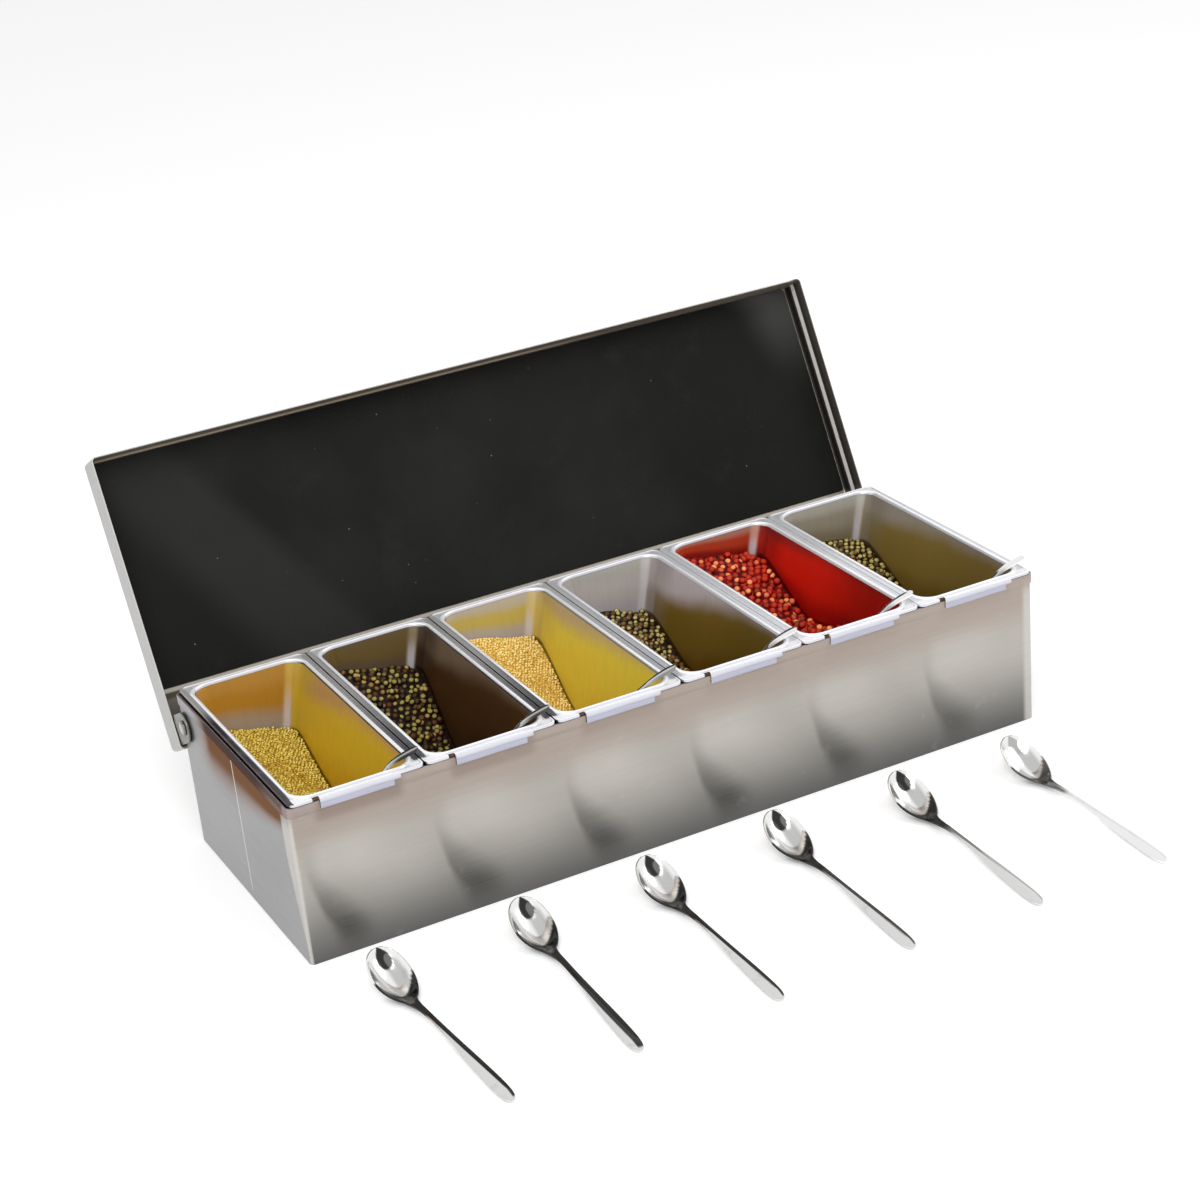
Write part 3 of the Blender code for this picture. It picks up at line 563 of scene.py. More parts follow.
class SPICE_BOX_OT_case(Maker, bpy.types.Operator):
    """Two steel wraps that make the case, each with a hem folded out along its top"""
    bl_idname = "spice_box.case"
    bl_label = "Case Wraps"

    def make(self, sizes, colours):
        sheet, top = sizes.case_sheet, CASE_HEIGHT
        foot = top - sizes.hem_height
        soft, slight = sheet * 0.45, sheet * 0.45 * 0.3
        # How far out and how high the section's corners lie, from the inner face over the hem to the outer face.
        section = (
            (-sheet, 0.0), (-sheet, top - soft), (-sheet + slight, top - slight), (-sheet + soft, top),
            (sheet - soft, top), (sheet - slight, top - slight), (sheet, top - soft), (sheet, foot + soft),
            (sheet - slight, foot + slight), (sheet - soft, foot), (0.0, foot), (0.0, 0.0),
        )
        for side, word in ((-1, "front"), (1, "rear")):
            work = bmesh.new()
            loops = [outline(work, sizes.case_half_length + out, sizes.case_half_depth + out,
                             sizes.case_corner + out, z, steps=8) for out, z in section]
            skin(work, loops, closed=True)
            rims = cut(work, (0, side * sizes.seam_gap / 2, 0), (0, -side, 0), clear=True)
            bmesh.ops.holes_fill(work, edges=[g for g in rims if isinstance(g, bmesh.types.BMEdge)], sides=0)
            face_out(work)
            look = case_finish(f"case_{word}_steel", colours, painted_reflections=side < 0)
            piece_from(work, f"{word}_wrap_sheet", [look], "case", f"case_{word}_wrap")


class SPICE_BOX_OT_case_floor(Maker, bpy.types.Operator):
    """Finish of the shallow tray inside the case"""
    bl_idname = "spice_box.case_floor"
    bl_label = "Case Floor"

    def make(self, sizes, colours):
        made = Finish("case_floor_steel", (0.36, 0.355, 0.35), metallic=0.9, roughness=0.42)
        grain = made.noise(1.0, stretch=(8.0, 600.0, 600.0))
        made.lay(grain.ramp(0.3, 0.7), (0.52, 0.515, 0.50))
        made.lay(made.cells(90.0).ramp(0.12, 0.02, 0.0, 0.3), (0.22, 0.21, 0.20))
        dress("case_floor", made.done(grain, (0.34, 0.52), bump=0.2))


# Lid.


def lid_place(sizes):
    return Matrix.Translation(PIVOT) @ Matrix.Rotation(-sizes.lid_open, 4, "X")


def lid_finish(sizes, colours):
    """Satin steel: pale outside; inside, the skirts and the strip beside the hinge carry painted reflections of the
    dark sheet in bands.
    """
    made = Finish("lid_satin_steel", colours.lid_steel, metallic=0.6, roughness=0.34)
    grain = made.noise(1.0, 4.0, 0.6, (9.0, 500.0, 500.0))
    cloud = made.noise(14.0)
    made.lay(cloud.ramp(0.3, 0.7), scaled(colours.lid_steel, 1.12))
    # Painted shade: the skirt that faces left is darker.
    made.lay(made.sideways.ramp(-0.5, -0.9), (0.40, 0.395, 0.385))
    # Places on the lid itself: how far behind the pivot, and how far below the lid's face.
    cos, sin = math.cos(sizes.lid_open), math.sin(sizes.lid_open)
    behind, above = made.y - PIVOT.y, made.z - PIVOT.z
    back = behind * cos - above * sin
    under = sizes.lid_top - sizes.lid_sheet - (behind * sin + above * cos)
    # Inside, the steel is painted dark as the reflection of the dark sheet, cloudy in places.
    inside_reflections = made.mix(cloud.ramp(0.35, 0.65), (0.105, 0.088, 0.072), (0.17, 0.15, 0.125))
    # A painted pale reflection and a painted shadow run beside the dark sheet, this far from the rear skirt.
    line = sizes.lid_rear - sizes.lid_sheet - 0.0381
    strip = back.band(line - 0.0004, line, line + 0.0018, line + 0.0030)
    inside_reflections = made.mix(strip, inside_reflections, (0.42, 0.38, 0.32))
    shadow = back.band(line + 0.0024, line + 0.0034, line + 0.0050, line + 0.0075)
    inside_reflections = made.mix(shadow * 0.8, inside_reflections, (0.03, 0.026, 0.02))
    # Painted reflections in bands along the right skirt, with the painted highlight among them: where each tone
    # begins and where it is full, below the lid's face.
    start, full, fading, end = PALE_LINE
    bands = ((0.0018, 0.0030, (0.030, 0.026, 0.022)), (0.0060, 0.0080, (0.12, 0.098, 0.080)),
             (start, full, (1.0, 0.98, 0.94)), (fading, end, (0.09, 0.075, 0.060)),
             (0.0160, 0.0200, (0.17, 0.145, 0.125)), (0.0218, 0.0230, (0.08, 0.068, 0.058)))
    banded = (0.10, 0.09, 0.08)
    for low, high, shade in bands:
        banded = made.mix(under.ramp(low, high), banded, shade)
    right = made.sideways.ramp(-0.5, -0.85)
    inside_reflections = made.mix(right, inside_reflections, banded)
    # The free skirt is painted with its reflection: a dark band, pale near the lid's face on the left.
    free = made.upward.ramp(-0.25, -0.6) * back.ramp(-0.160, -0.168)
    skirt_line = under.ramp(0.0095, 0.0075) * made.x.ramp(0.14, 0.02)
    inside_reflections = made.mix(free, inside_reflections, made.mix(skirt_line, (0.22, 0.185, 0.145), (0.70, 0.60, 0.46)))
    inside = made.marked("inside")
    made.lay(inside, inside_reflections)
    # Painted light along the skirt's edge, with painted shade at its right end.
    made.lay(made.marked("edge"), made.mix(made.x.ramp(0.244, 0.250), (0.60, 0.585, 0.56), (0.12, 0.10, 0.085)))
    # The pale line and the free skirt are dull, or they would mirror the dark sheet.
    pale = right * under.band(*PALE_LINE)
    made.dull(inside * pale.math("MAXIMUM", free), 0.1)
    made.lay(grain.ramp(0.35, 0.7, 0.0, 0.12), (0.2, 0.195, 0.19))
    return made.done(grain, (0.28, 0.40), bump=0.12)


class SPICE_BOX_OT_lid(Maker, bpy.types.Operator):
    """The lid, folded from one sheet with a skirt on all four sides"""
    bl_idname = "spice_box.lid"
    bl_label = "Lid"

    def make(self, sizes, colours):
        mid = (sizes.lid_rear - sizes.lid_front) / 2
        half_y = (sizes.lid_rear + sizes.lid_front) / 2
        sheet, fold, corner = sizes.lid_sheet, sizes.lid_fold, sizes.lid_corner
        top, edge = sizes.lid_top, sizes.lid_edge
        inner, soft = fold - sheet, sheet * 0.3
        # Each row: how far in it lies, its corner radius, its height, and whether it is inside or on the edge.
        rows = [(sheet + inner * (1 - sin), max(corner - sheet, 0.0005), top - sheet - inner * (1 - cos), 1, 0)
                for sin, cos in quarter(4)]
        rows += [
            (sheet, corner - sheet, edge + 0.0009, 1, 0),
            (sheet, corner - sheet, edge + soft, 0, 1),
            (sheet - soft, corner - sheet + soft, edge, 0, 1),
            (soft, corner - soft, edge, 0, 1),
            (0.0, corner, edge + soft, 0, 1),
            (0.0, corner, edge + 0.0009, 0, 0),
        ]
        rows += [(fold * (1 - cos), corner, top - fold * (1 - sin), 0, 0) for sin, cos in quarter(4)]
        work = bmesh.new()
        marks = [work.verts.layers.float.new(name) for name in ("inside", "edge")]
        loops = []
        for shrink, radius, z, *marked in rows:
            loops.append(outline(work, sizes.lid_half_x - shrink, half_y - shrink, radius, z, mid_y=mid))
            for v in {v for e in loops[-1] for v in e.verts}:
                v[marks[0]], v[marks[1]] = marked
        skin(work, loops)
        bmesh.ops.transform(work, matrix=lid_place(sizes), verts=work.verts)
        look = lid_finish(sizes, colours)
        piece_from(work, "lid_folded_sheet", [look], "lid", "lid_tray")


class SPICE_BOX_OT_lid_liner(Maker, bpy.types.Operator):
    """Finish of the dark polished sheet inside the lid"""
    bl_idname = "spice_box.lid_liner"
    bl_label = "Lid Liner"

    def make(self, sizes, colours):
        made = Finish("lid_dark_sheet", colours.liner, metallic=0.0, roughness=0.2, specular=0.04)
        x, z = made.x, made.z
        made.lay(made.noise(9.0).ramp(0.35, 0.7), scaled(colours.liner, 1.5))
        # Painted reflections on the dark sheet: a light streak that leans across it and a lighter far corner.
        lean = x + z * 0.75
        made.lay(lean.band(-0.120, -0.085, -0.05, -0.028) * 0.55, (0.03, 0.03, 0.028))
        far = x.ramp(0.175, 0.252) + z.ramp(0.205, 0.230, 0.0, 0.6)
        far = far * x.ramp(-0.05, 0.235) * z.ramp(0.10, 0.225)
        made.lay(far.ramp(0.35, 1.3), (0.10, 0.10, 0.098))
        dust = made.cells(95.0).ramp(0.055, 0.015) * made.noise(40.0, 2.0).ramp(0.52, 0.62)
        made.lay(dust * 0.75, (0.30, 0.30, 0.29))
        smear = made.noise(1.0, 6.0, 0.7, (30.0, 30.0, 30.0), (0, 0.5, 0))
        made.lay(smear.ramp(0.55, 0.8, 0.0, 0.35), (0.035, 0.034, 0.031))
        dress("lid_inner_panel", made.done(smear, (0.18, 0.34), bump=0.03, height=0.0003))


# Hinge.


class SPICE_BOX_OT_hinge(Maker, bpy.types.Operator):
    """Rivets through the end walls and the ears of the lid that turn on them"""
    bl_idname = "spice_box.hinge"
    bl_label = "Hinge"

    def make(self, sizes, colours):
        made = Finish("hinge_steel_finish", (0.14, 0.138, 0.125), metallic=0.85, roughness=0.28)
        grain = made.noise(1.0, stretch=(300.0, 300.0, 30.0))
        made.lay(grain.ramp(0.3, 0.7), (0.20, 0.197, 0.18))
        made.lay(abs(made.x).ramp(0.2530, 0.2542, 0.0, 0.7), (0.62, 0.61, 0.59))
        look = made.done(grain, (0.2, 0.36), bump=0.15)
        for side, word in ((-1, "left"), (1, "right")):
            for shape, body in ((self.rivet, "case"), (self.ear, "lid")):
                name = f"{shape.__name__}_{word}"
                piece_from(shape(sizes, side), name, [look], body, f"hinge_{name}", sharp=40)

    def rivet(self, sizes, side):
        """The rivet's outline, spun about the pivot."""
        play, lip = 0.0003, 0.0002
        head = sizes.ear_inner_x + sizes.ear_sheet + play
        tail = sizes.case_half_length - sizes.case_sheet - play
        radius, rise = sizes.rivet_head_radius, sizes.rivet_head_rise
        line = [(tail - 0.0012, 0.0), (tail - 0.0012, 0.0032), (tail - 0.0007, 0.0038), (tail, 0.0038),
                (tail, sizes.rivet_radius), (head, sizes.rivet_radius), (head, radius * 0.96), (head + lip, radius)]
        line += [(head + lip + (rise - lip) * sin, radius * cos) for sin, cos in quarter(8)[1:]]
        work = bmesh.new()
        points = [work.verts.new((side * x, 0.0, r)) for x, r in line]
        edges = [work.edges.new(pair) for pair in zip(points, points[1:])]
        bmesh.ops.spin(work, geom=points + edges, cent=(0, 0, 0), axis=(1, 0, 0), angle=2 * math.pi, steps=40,
                       use_merge=True, use_duplicate=False)
        bmesh.ops.remove_doubles(work, verts=work.verts, dist=1e-6)
        face_out(work)
        bmesh.ops.translate(work, vec=PIVOT, verts=work.verts)
        return work

    def ear(self, sizes, side):
        """A flat strap with a round end, a hole for the rivet and rounded edges."""
        work = bmesh.new()
        hole_radius, half = sizes.rivet_radius + 0.0001, sizes.ear_half_width
        tall = (half + sizes.ear_height) / 2
        strap = plate(work, half, tall, (0, sizes.ear_height - tall, 0))
        round_off(work, [v for v in strap if v.co.y < 0], half * 0.98, 16, "VERTICES")
        border = list({e for f in work.faces for e in f.edges})
        bmesh.ops.delete(work, geom=list(work.faces), context="FACES_ONLY")
        ring = bmesh.ops.create_circle(work, cap_ends=False, segments=36, radius=hole_radius)["verts"]
        hole = list({e for v in ring for e in v.link_edges})
        bmesh.ops.triangle_fill(work, edges=border + hole, use_beauty=True)
        inner = [f for f in work.faces if f.calc_center_median().length < hole_radius * 0.9]
        bmesh.ops.delete(work, geom=inner, context="FACES_ONLY")
        face_out(work)
        grown = bmesh.ops.extrude_face_region(work, geom=list(work.faces))
        raised = [g for g in grown["geom"] if isinstance(g, bmesh.types.BMVert)]
        bmesh.ops.translate(work, vec=(0, 0, sizes.ear_sheet), verts=raised)
        face_out(work)
        round_off(work, [e for e in work.edges if e.calc_face_angle(0.0) > math.radians(50)], 0.00018, 2)
        stand = Matrix(((0, 0, side, side * sizes.ear_inner_x), (1, 0, 0, 0), (0, 1, 0, 0), (0, 0, 0, 1)))
        bmesh.ops.transform(work, matrix=lid_place(sizes) @ stand, verts=work.verts)
        face_out(work)
        return work


# Pans.

RIM, WALL, NOTCH, OUTSIDE = range(4)


def pan_middle(index):
    return (index - (PAN_COUNT - 1) / 2) * PAN_PITCH


def pan_walls(sizes, depth):
    """Half sizes and corner radius inside a pan at a depth below its top."""
    full = PAN_TOP - sizes.pan_floor_z
    half_x = PAN_WIDTH / 2 - sizes.pan_rim
    draft = (half_x - sizes.pan_floor_width / 2) / full
    radius = sizes.pan_corner + (sizes.pan_floor_radius - sizes.pan_corner) * depth / full
    return half_x - draft * depth, sizes.pan_half_y - PAN_END_DRAFT * depth, radius


def rim_finish(colours):
    """Polished rim: white crests, a grey trough, painted shadow between the pans that darkens towards the front on
    the left, and a bluish tab with a painted highlight along its top.
    """
    made = Finish("pan_rim_polish", colours.rim, metallic=0.30, roughness=0.22)
    x, y, z = made.x, made.y, made.z
    hair = made.noise(1.0, 2.0, stretch=(120.0, 30.0, 120.0))
    crest = z.ramp(PAN_TOP - 0.0002, PAN_TOP - 0.0006)
    flat = made.mix(y.ramp(-0.0850, -0.0835), (0.80, 0.80, 0.83), (0.60, 0.605, 0.63))
    made.lay(z.ramp(PAN_TOP - 0.00062, PAN_TOP - 0.0009), flat)
    # Painted shadow between two pans: the rims are dark there on the left half of the box, most of all at the front.
    aside = abs((x / PAN_PITCH + 10.0).math("FRACT") - 0.5) * PAN_PITCH
    front_tone = made.mix(x.ramp(-0.06, 0.05), (0.030, 0.028, 0.036), (0.66, 0.675, 0.71))
    rear_tone = made.mix(x.ramp(-0.06, 0.05), (0.42, 0.415, 0.41), (0.64, 0.645, 0.66))
    band = made.mix(y.ramp(-0.085, 0.045), front_tone, rear_tone)
    made.lay(aside.ramp(0.0372, 0.0379) * crest * y.ramp(-0.0855, -0.0825), band)
    # Painted shadow along the left edge of the left pan's rim.
    made.lay(x.ramp(-0.24520, -0.24570) * y.ramp(0.062, 0.030) * crest, (0.040, 0.030, 0.038))
    # On the rims' sides, painted shadow in the gaps between the pans on the left, painted light on the right.
    sides = abs(made.sideways).ramp(0.6, 0.9)
    gap = made.mix(x.ramp(-0.04, 0.06), (0.02, 0.017, 0.022), (0.75, 0.75, 0.78))
    made.lay(sides * z.ramp(PAN_TOP - 0.0006, PAN_TOP - 0.0014), gap)
    # The tab is bluish steel with a painted highlight along its top.
    tab = made.mix(z.ramp(PAN_TOP - 0.0050, PAN_TOP - 0.0024), colours.tab, (0.64, 0.64, 0.70))
    made.lay(made.ahead.ramp(-0.5, -0.85), tab)
    # Painted shade on faces that turn downwards.
    made.lay(made.upward.ramp(-0.3, -0.7), (0.10, 0.09, 0.085))
    made.lay(made.noise(60.0).ramp(0.5, 0.75, 0.0, 0.15), (0.50, 0.50, 0.52))
    return made.done(hair, (0.16, 0.28), bump=0.03)


def outside_finish(colours):
    """Plain drawn steel of a pan's outside, a little darker at the foot."""
    made = Finish("pan_outside_steel", scaled(colours.wall, 0.8), metallic=0.7, roughness=0.36)
    grain = made.noise(1.0, stretch=(500.0, 500.0, 12.0))
    made.lay(made.z.ramp(0.015, 0.095), scaled(colours.wall, 1.15))
    made.lay(made.noise(30.0).ramp(0.35, 0.7, 0.0, 0.25), scaled(colours.wall, 0.75))
    made.lay(grain.ramp(0.4, 0.7, 0.0, 0.15), scaled(colours.wall, 0.55))
    return made.done(grain, (0.32, 0.44), bump=0.06)


def wall_fill(made, index):
    """How deep the fill stands against the walls, along the pan."""
    front, middle, rear = SPICES[index]["depths"]
    half_x, half_y, mid_y = 0.028, 0.0805, -0.0005
    along = (made.y - mid_y) / half_y
    lean = ((made.x - pan_middle(index)) / half_x).ramp(-1.0, 1.0, -1.0, 1.0)
    level = middle
    for end, far in ((rear, 1.0), (front, -1.0)):
        t = (along - FILL_LOWEST).math("DIVIDE", far - FILL_LOWEST, clamp=True)
        level = (t * 0.5 + t.ramp(0.0, 1.0) * 0.5) * (end - middle) + level
    return level + lean * along.ramp(-0.6, 0.2) * FILL_LEAN


def wall_finish(index, colours):
    """Satin pan wall with painted reflections of its spice, from the fill upwards."""
    spice = SPICES[index]
    made = Finish(f"pan_{index + 1}_wall", None, metallic=0.2, roughness=0.36, specular=0.22)
    y = made.y
    cloud = made.noise(22.0, 2.5, stretch=(1.0, 1.0, 0.7))
    fine = made.noise(1.0, 2.0, stretch=(300.0, 300.0, 14.0))
    below, level = PAN_TOP - made.z, wall_fill(made, index)
    share = below / level
    drift = share + (cloud - 0.5) * 0.25
    # The painted reflection on the rear wall reaches round the corner on to the right wall, less and less towards the
    # front.
    carry = y.ramp(-0.010, 0.074, 0.0, spice["carry"])
    # Where each wall's first tone ends and how softly, and where both walls' last tone begins: shares of the depth.
    walls, last = [], 0.72
    sides = ((drift, spice["rear"], 0.30, 0.16), (drift - carry, spice["right"], 0.08, 0.18))
    for place, tones, first, soft in sides:
        tone = made.mix(place.ramp(first - soft * 0.8, first + soft * 0.8), tones[0], tones[1])
        walls.append(made.mix(place.ramp(last - soft, last + soft), tone, tones[2]))
    # The right wall's painted reflection is darker towards the front.
    walls[1] = made.mix(y.ramp(0.020, -0.055), walls[1], [spice["front"]] * 3, "MULTIPLY")
    right = abs(made.sideways).ramp(0.55, 0.80)
    made.tone = made.mix(right, *walls)
    # Painted highlight down the rounded rear right corner, paler at its foot, with a dull painted band beside it.
    turned, behind = made.sideways * -1.0, y.ramp(0.050, 0.070)
    made.lay(turned.band(0.60, 0.74, 0.93, 0.985) * behind * 0.75, spice["corner"][1])
    pale = made.mix(share.ramp(0.25, 0.80), spice["corner"][0], (0.60, 0.56, 0.58))
    made.lay(turned.band(0.10, 0.34, 0.52, 0.70) * behind * 0.85, pale)
    # Painted shadow where the fill meets the right wall, and painted shade just below the top.
    made.lay(abs(below - level).ramp(0.0024, 0.0006) * right * 0.8, scaled(spice["right"][2], 0.15))
    made.lay(below.ramp(0.0026, 0.0012) * 0.8, (0.10, 0.09, 0.08))
    made.lay(fine.ramp(0.4, 0.7, 0.0, 0.05), (0.08, 0.075, 0.07))
    return made.done(fine, (0.30, 0.40), bump=0.05)


class SPICE_BOX_OT_pans(Maker, bpy.types.Operator):
    """Six pressed pans with a bead round the opening, a rolled rim and a grip tab"""
    bl_idname = "spice_box.pans"
    bl_label = "Pans"

    def make(self, sizes, colours):
        rim, outside = rim_finish(colours), outside_finish(colours)
        notch = Finish("pan_notch_shadow", (0.035, 0.014, 0.008), metallic=0.2, roughness=0.6)
        notch.lay(notch.noise(300.0).ramp(0.35, 0.65), (0.13, 0.055, 0.025))
        notch.done()
        for index in range(PAN_COUNT):
            pan = f"pan_{index + 1}"
            looks = {RIM: rim, WALL: wall_finish(index, colours), NOTCH: notch.material, OUTSIDE: outside}
            work = self.pan(sizes, pan_middle(index))
            piece_from(work, f"{pan}_pressed", looks.values(), f"{pan}_body", pan, sharp=32)

    def pan(self, sizes, middle):
        """Rows of outlines from the floor up the inside, over the bead and the rolled edge and down the outside."""
        work = bmesh.new()
        loops = []
        mid_y, corner, bead = sizes.pan_mid_y, sizes.pan_rim_corner, sizes.pan_bead
        open_x, open_y = PAN_WIDTH / 2 - sizes.pan_rim, sizes.pan_half_y
        full = PAN_TOP - sizes.pan_floor_z
        flange = PAN_TOP - bead
        rest = flange - sizes.pan_rim_thickness

        def wall(depth, extra, grow, z):
            half_x, half_y, radius = pan_walls(sizes, depth)
            loops.append(outline(work, half_x - extra + grow, half_y - extra + grow,
                                 max(radius - extra * 0.6, 0.002) + grow, z, middle, mid_y, 8))

        def edge(out, z, radius):
            loops.append(outline(work, open_x + out, open_y + out, radius, z, middle, mid_y, 8))

        foot = [(sizes.pan_floor_radius * (1 - sin), sizes.pan_floor_radius * (1 - cos)) for sin, cos in quarter(5)]
        for rise, extra in reversed(foot):
            wall(full - rise, extra, 0.0, sizes.pan_floor_z + rise)
        for depth in (0.030, 0.0018):
            wall(depth, 0.0, 0.0, PAN_TOP - depth)
        for step in range(1, 8):
            angle = math.pi * step / 8
            out = sizes.pan_bead_width * (1 - math.cos(angle)) / 2
            edge(out, flange + bead * math.sin(angle), sizes.pan_corner + out * 0.4)
        edge(sizes.pan_bead_width + 0.0001, flange, sizes.pan_corner * 0.9)
        edge(sizes.pan_rim - 0.0015, flange, corner + 0.001)
        roll = 0.00065
        for step in range(7):
            angle = math.pi * step / 6
            edge(sizes.pan_rim - roll - roll * math.cos(angle), flange + 0.00045 * math.sin(angle), corner)
        for inward, rise in ((0.0, 0.0004), (0.0002, 0.0001), (0.0006, 0.0)):
            edge(sizes.pan_rim - inward, rest + rise, corner)
        wall(PAN_TOP - rest, 0.0, sizes.pan_sheet, rest)
        for rise, extra in foot:
            wall(full - rise, extra, sizes.pan_sheet, sizes.pan_floor_z + rise - sizes.pan_sheet)
        skin(work, loops)
        tip = mid_y - open_y - sizes.pan_rim
        left = middle + sizes.tab_offset - sizes.tab_width / 2
        notch = (left - 0.0042, left - 0.0002)
        self.notch(work, *notch, tip)
        for face in work.faces:
            centre = face.calc_center_median()
            toward = Vector((centre.x - middle, centre.y - mid_y, 0))
            inner = centre.z < PAN_TOP - 0.0016 and face.normal.dot(toward) < 0 or (
                face.normal.z > 0.9 and centre.z < PAN_TOP - 0.05)
            within = abs(centre.x - middle) < open_x + 0.0001 and abs(centre.y - mid_y) < open_y + 0.0001
            if inner and (within or centre.z < rest + 0.0012):
                face.material_index = WALL
            elif centre.z < rest - 0.001:
                face.material_index = OUTSIDE
            elif notch[0] + 0.0001 < centre.x < notch[1] - 0.0001 and centre.y < tip + 0.0022:
                face.material_index = NOTCH
        foot_z = flange - sizes.tab_drop
        half_way, right = foot_z + 0.0034, left + sizes.tab_width
        block(work, (left, tip - 0.0004, half_way - 0.0001), (right, tip + 0.0004, flange - 0.0001), 0.00035)
        block(work, (left, tip - 0.0003, foot_z), (right - sizes.tab_step, tip + 0.0004, half_way + 0.0002), 0.0003)
        return work

    def notch(self, work, low, high, tip):
        """Presses the rim in beside the tab."""
        for place in (low, low + 0.0002, high - 0.0002, high):
            cut(work, (place, 0, 0), (1, 0, 0))
        pressed = [v for v in work.verts if low + 0.0001 < v.co.x < high - 0.0001 and v.co.y < tip + 0.0009]
        bmesh.ops.translate(work, vec=(0, 0.0011, 0), verts=pressed)


# Spices.


def fill_spot(sizes, index, x, y):
    """Depth of a fill at a place in the pan, with the half sizes that the fill has there."""
    front, middle, rear = SPICES[index]["depths"]
    depth = middle
    for _ in range(6):
        half_x, half_y, radius = pan_walls(sizes, depth)
        past = abs(y) - (half_y - radius)
        corner = radius - math.sqrt(max(radius * radius - past * past, 0.0)) if past > 0 else 0.0
        across = min(max(x / max(half_x - corner, 0.001), -1.0), 1.0)
        along = min(max(y / half_y, -1.0), 1.0)
        end, far = (rear, 1.0) if along > FILL_LOWEST else (front, -1.0)
        t = (along - FILL_LOWEST) / (far - FILL_LOWEST)
        rise = 0.5 * t + 0.5 * t * t * (3 - 2 * t)
        depth = middle + (end - middle) * rise + FILL_LEAN * across * min(max((along + 0.6) / 0.8, 0.0), 1.0)
    return depth, half_x - corner, half_y


def grain_finish(index):
    """Colour of the grains: each has its own shade, with painted light on the side turned up and a painted highlight
    on top.
    """
    dark, middle, light = SPICES[index]["tones"]
    fine, warm = SPICES[index]["fine"], SPICES[index]["warm"]
    made = Finish(f"spice_{index + 1}_grains", dark, metallic=0.0, roughness=0.5, specular=0.25 if fine else 0.12)
    shade = made.marked("shade")
    speck = made.noise(900.0 if fine else 420.0, 3.0, 0.65)
    # How far the surface is turned towards the light, up and to the front left; the painted light and highlights
    # follow it.
    turned = made.upward * 0.82 + made.ahead * -0.50 + made.sideways * -0.28
    made.lay(turned.ramp(-0.2 if fine else 0.20, 0.75), middle)
    made.lay(shade.ramp(0.30, 0.0, 0.0, 0.75), dark)
    if warm:
        brown = [part * factor for part, factor in zip(middle, (2.2, 0.9, 0.8))]
        made.lay((shade * 7.0).math("FRACT").ramp(0.45, 0.8) * warm, brown)
    highlight_chance = shade.ramp(0.15 if warm or fine else 0.66, 0.88, 0.30 if fine else 0.10, 1.0)
    made.lay(turned.ramp(0.30 if fine else 0.70, 0.92) * highlight_chance * 0.95, light)
    made.lay(speck.ramp(0.50, 0.78, 0.0, 0.30), dark)
    return made.done(speck, (0.35, 0.65), bump=0.6, height=0.0004)


def bed_finish(index):
    """The fill under the loose grains."""
    dark, middle, _ = SPICES[index]["tones"]
    made = Finish(f"spice_{index + 1}_bed", middle, metallic=0.0, roughness=0.8, specular=0.2)
    cell = made.cells(620.0 if SPICES[index]["fine"] else 240.0)
    # Painted shade in the crevices between the lumps of the fill.
    made.lay(cell.ramp(0.1, 0.6), dark)
    return made.done(cell, (0.6, 0.9), bump=0.8, height=0.001)


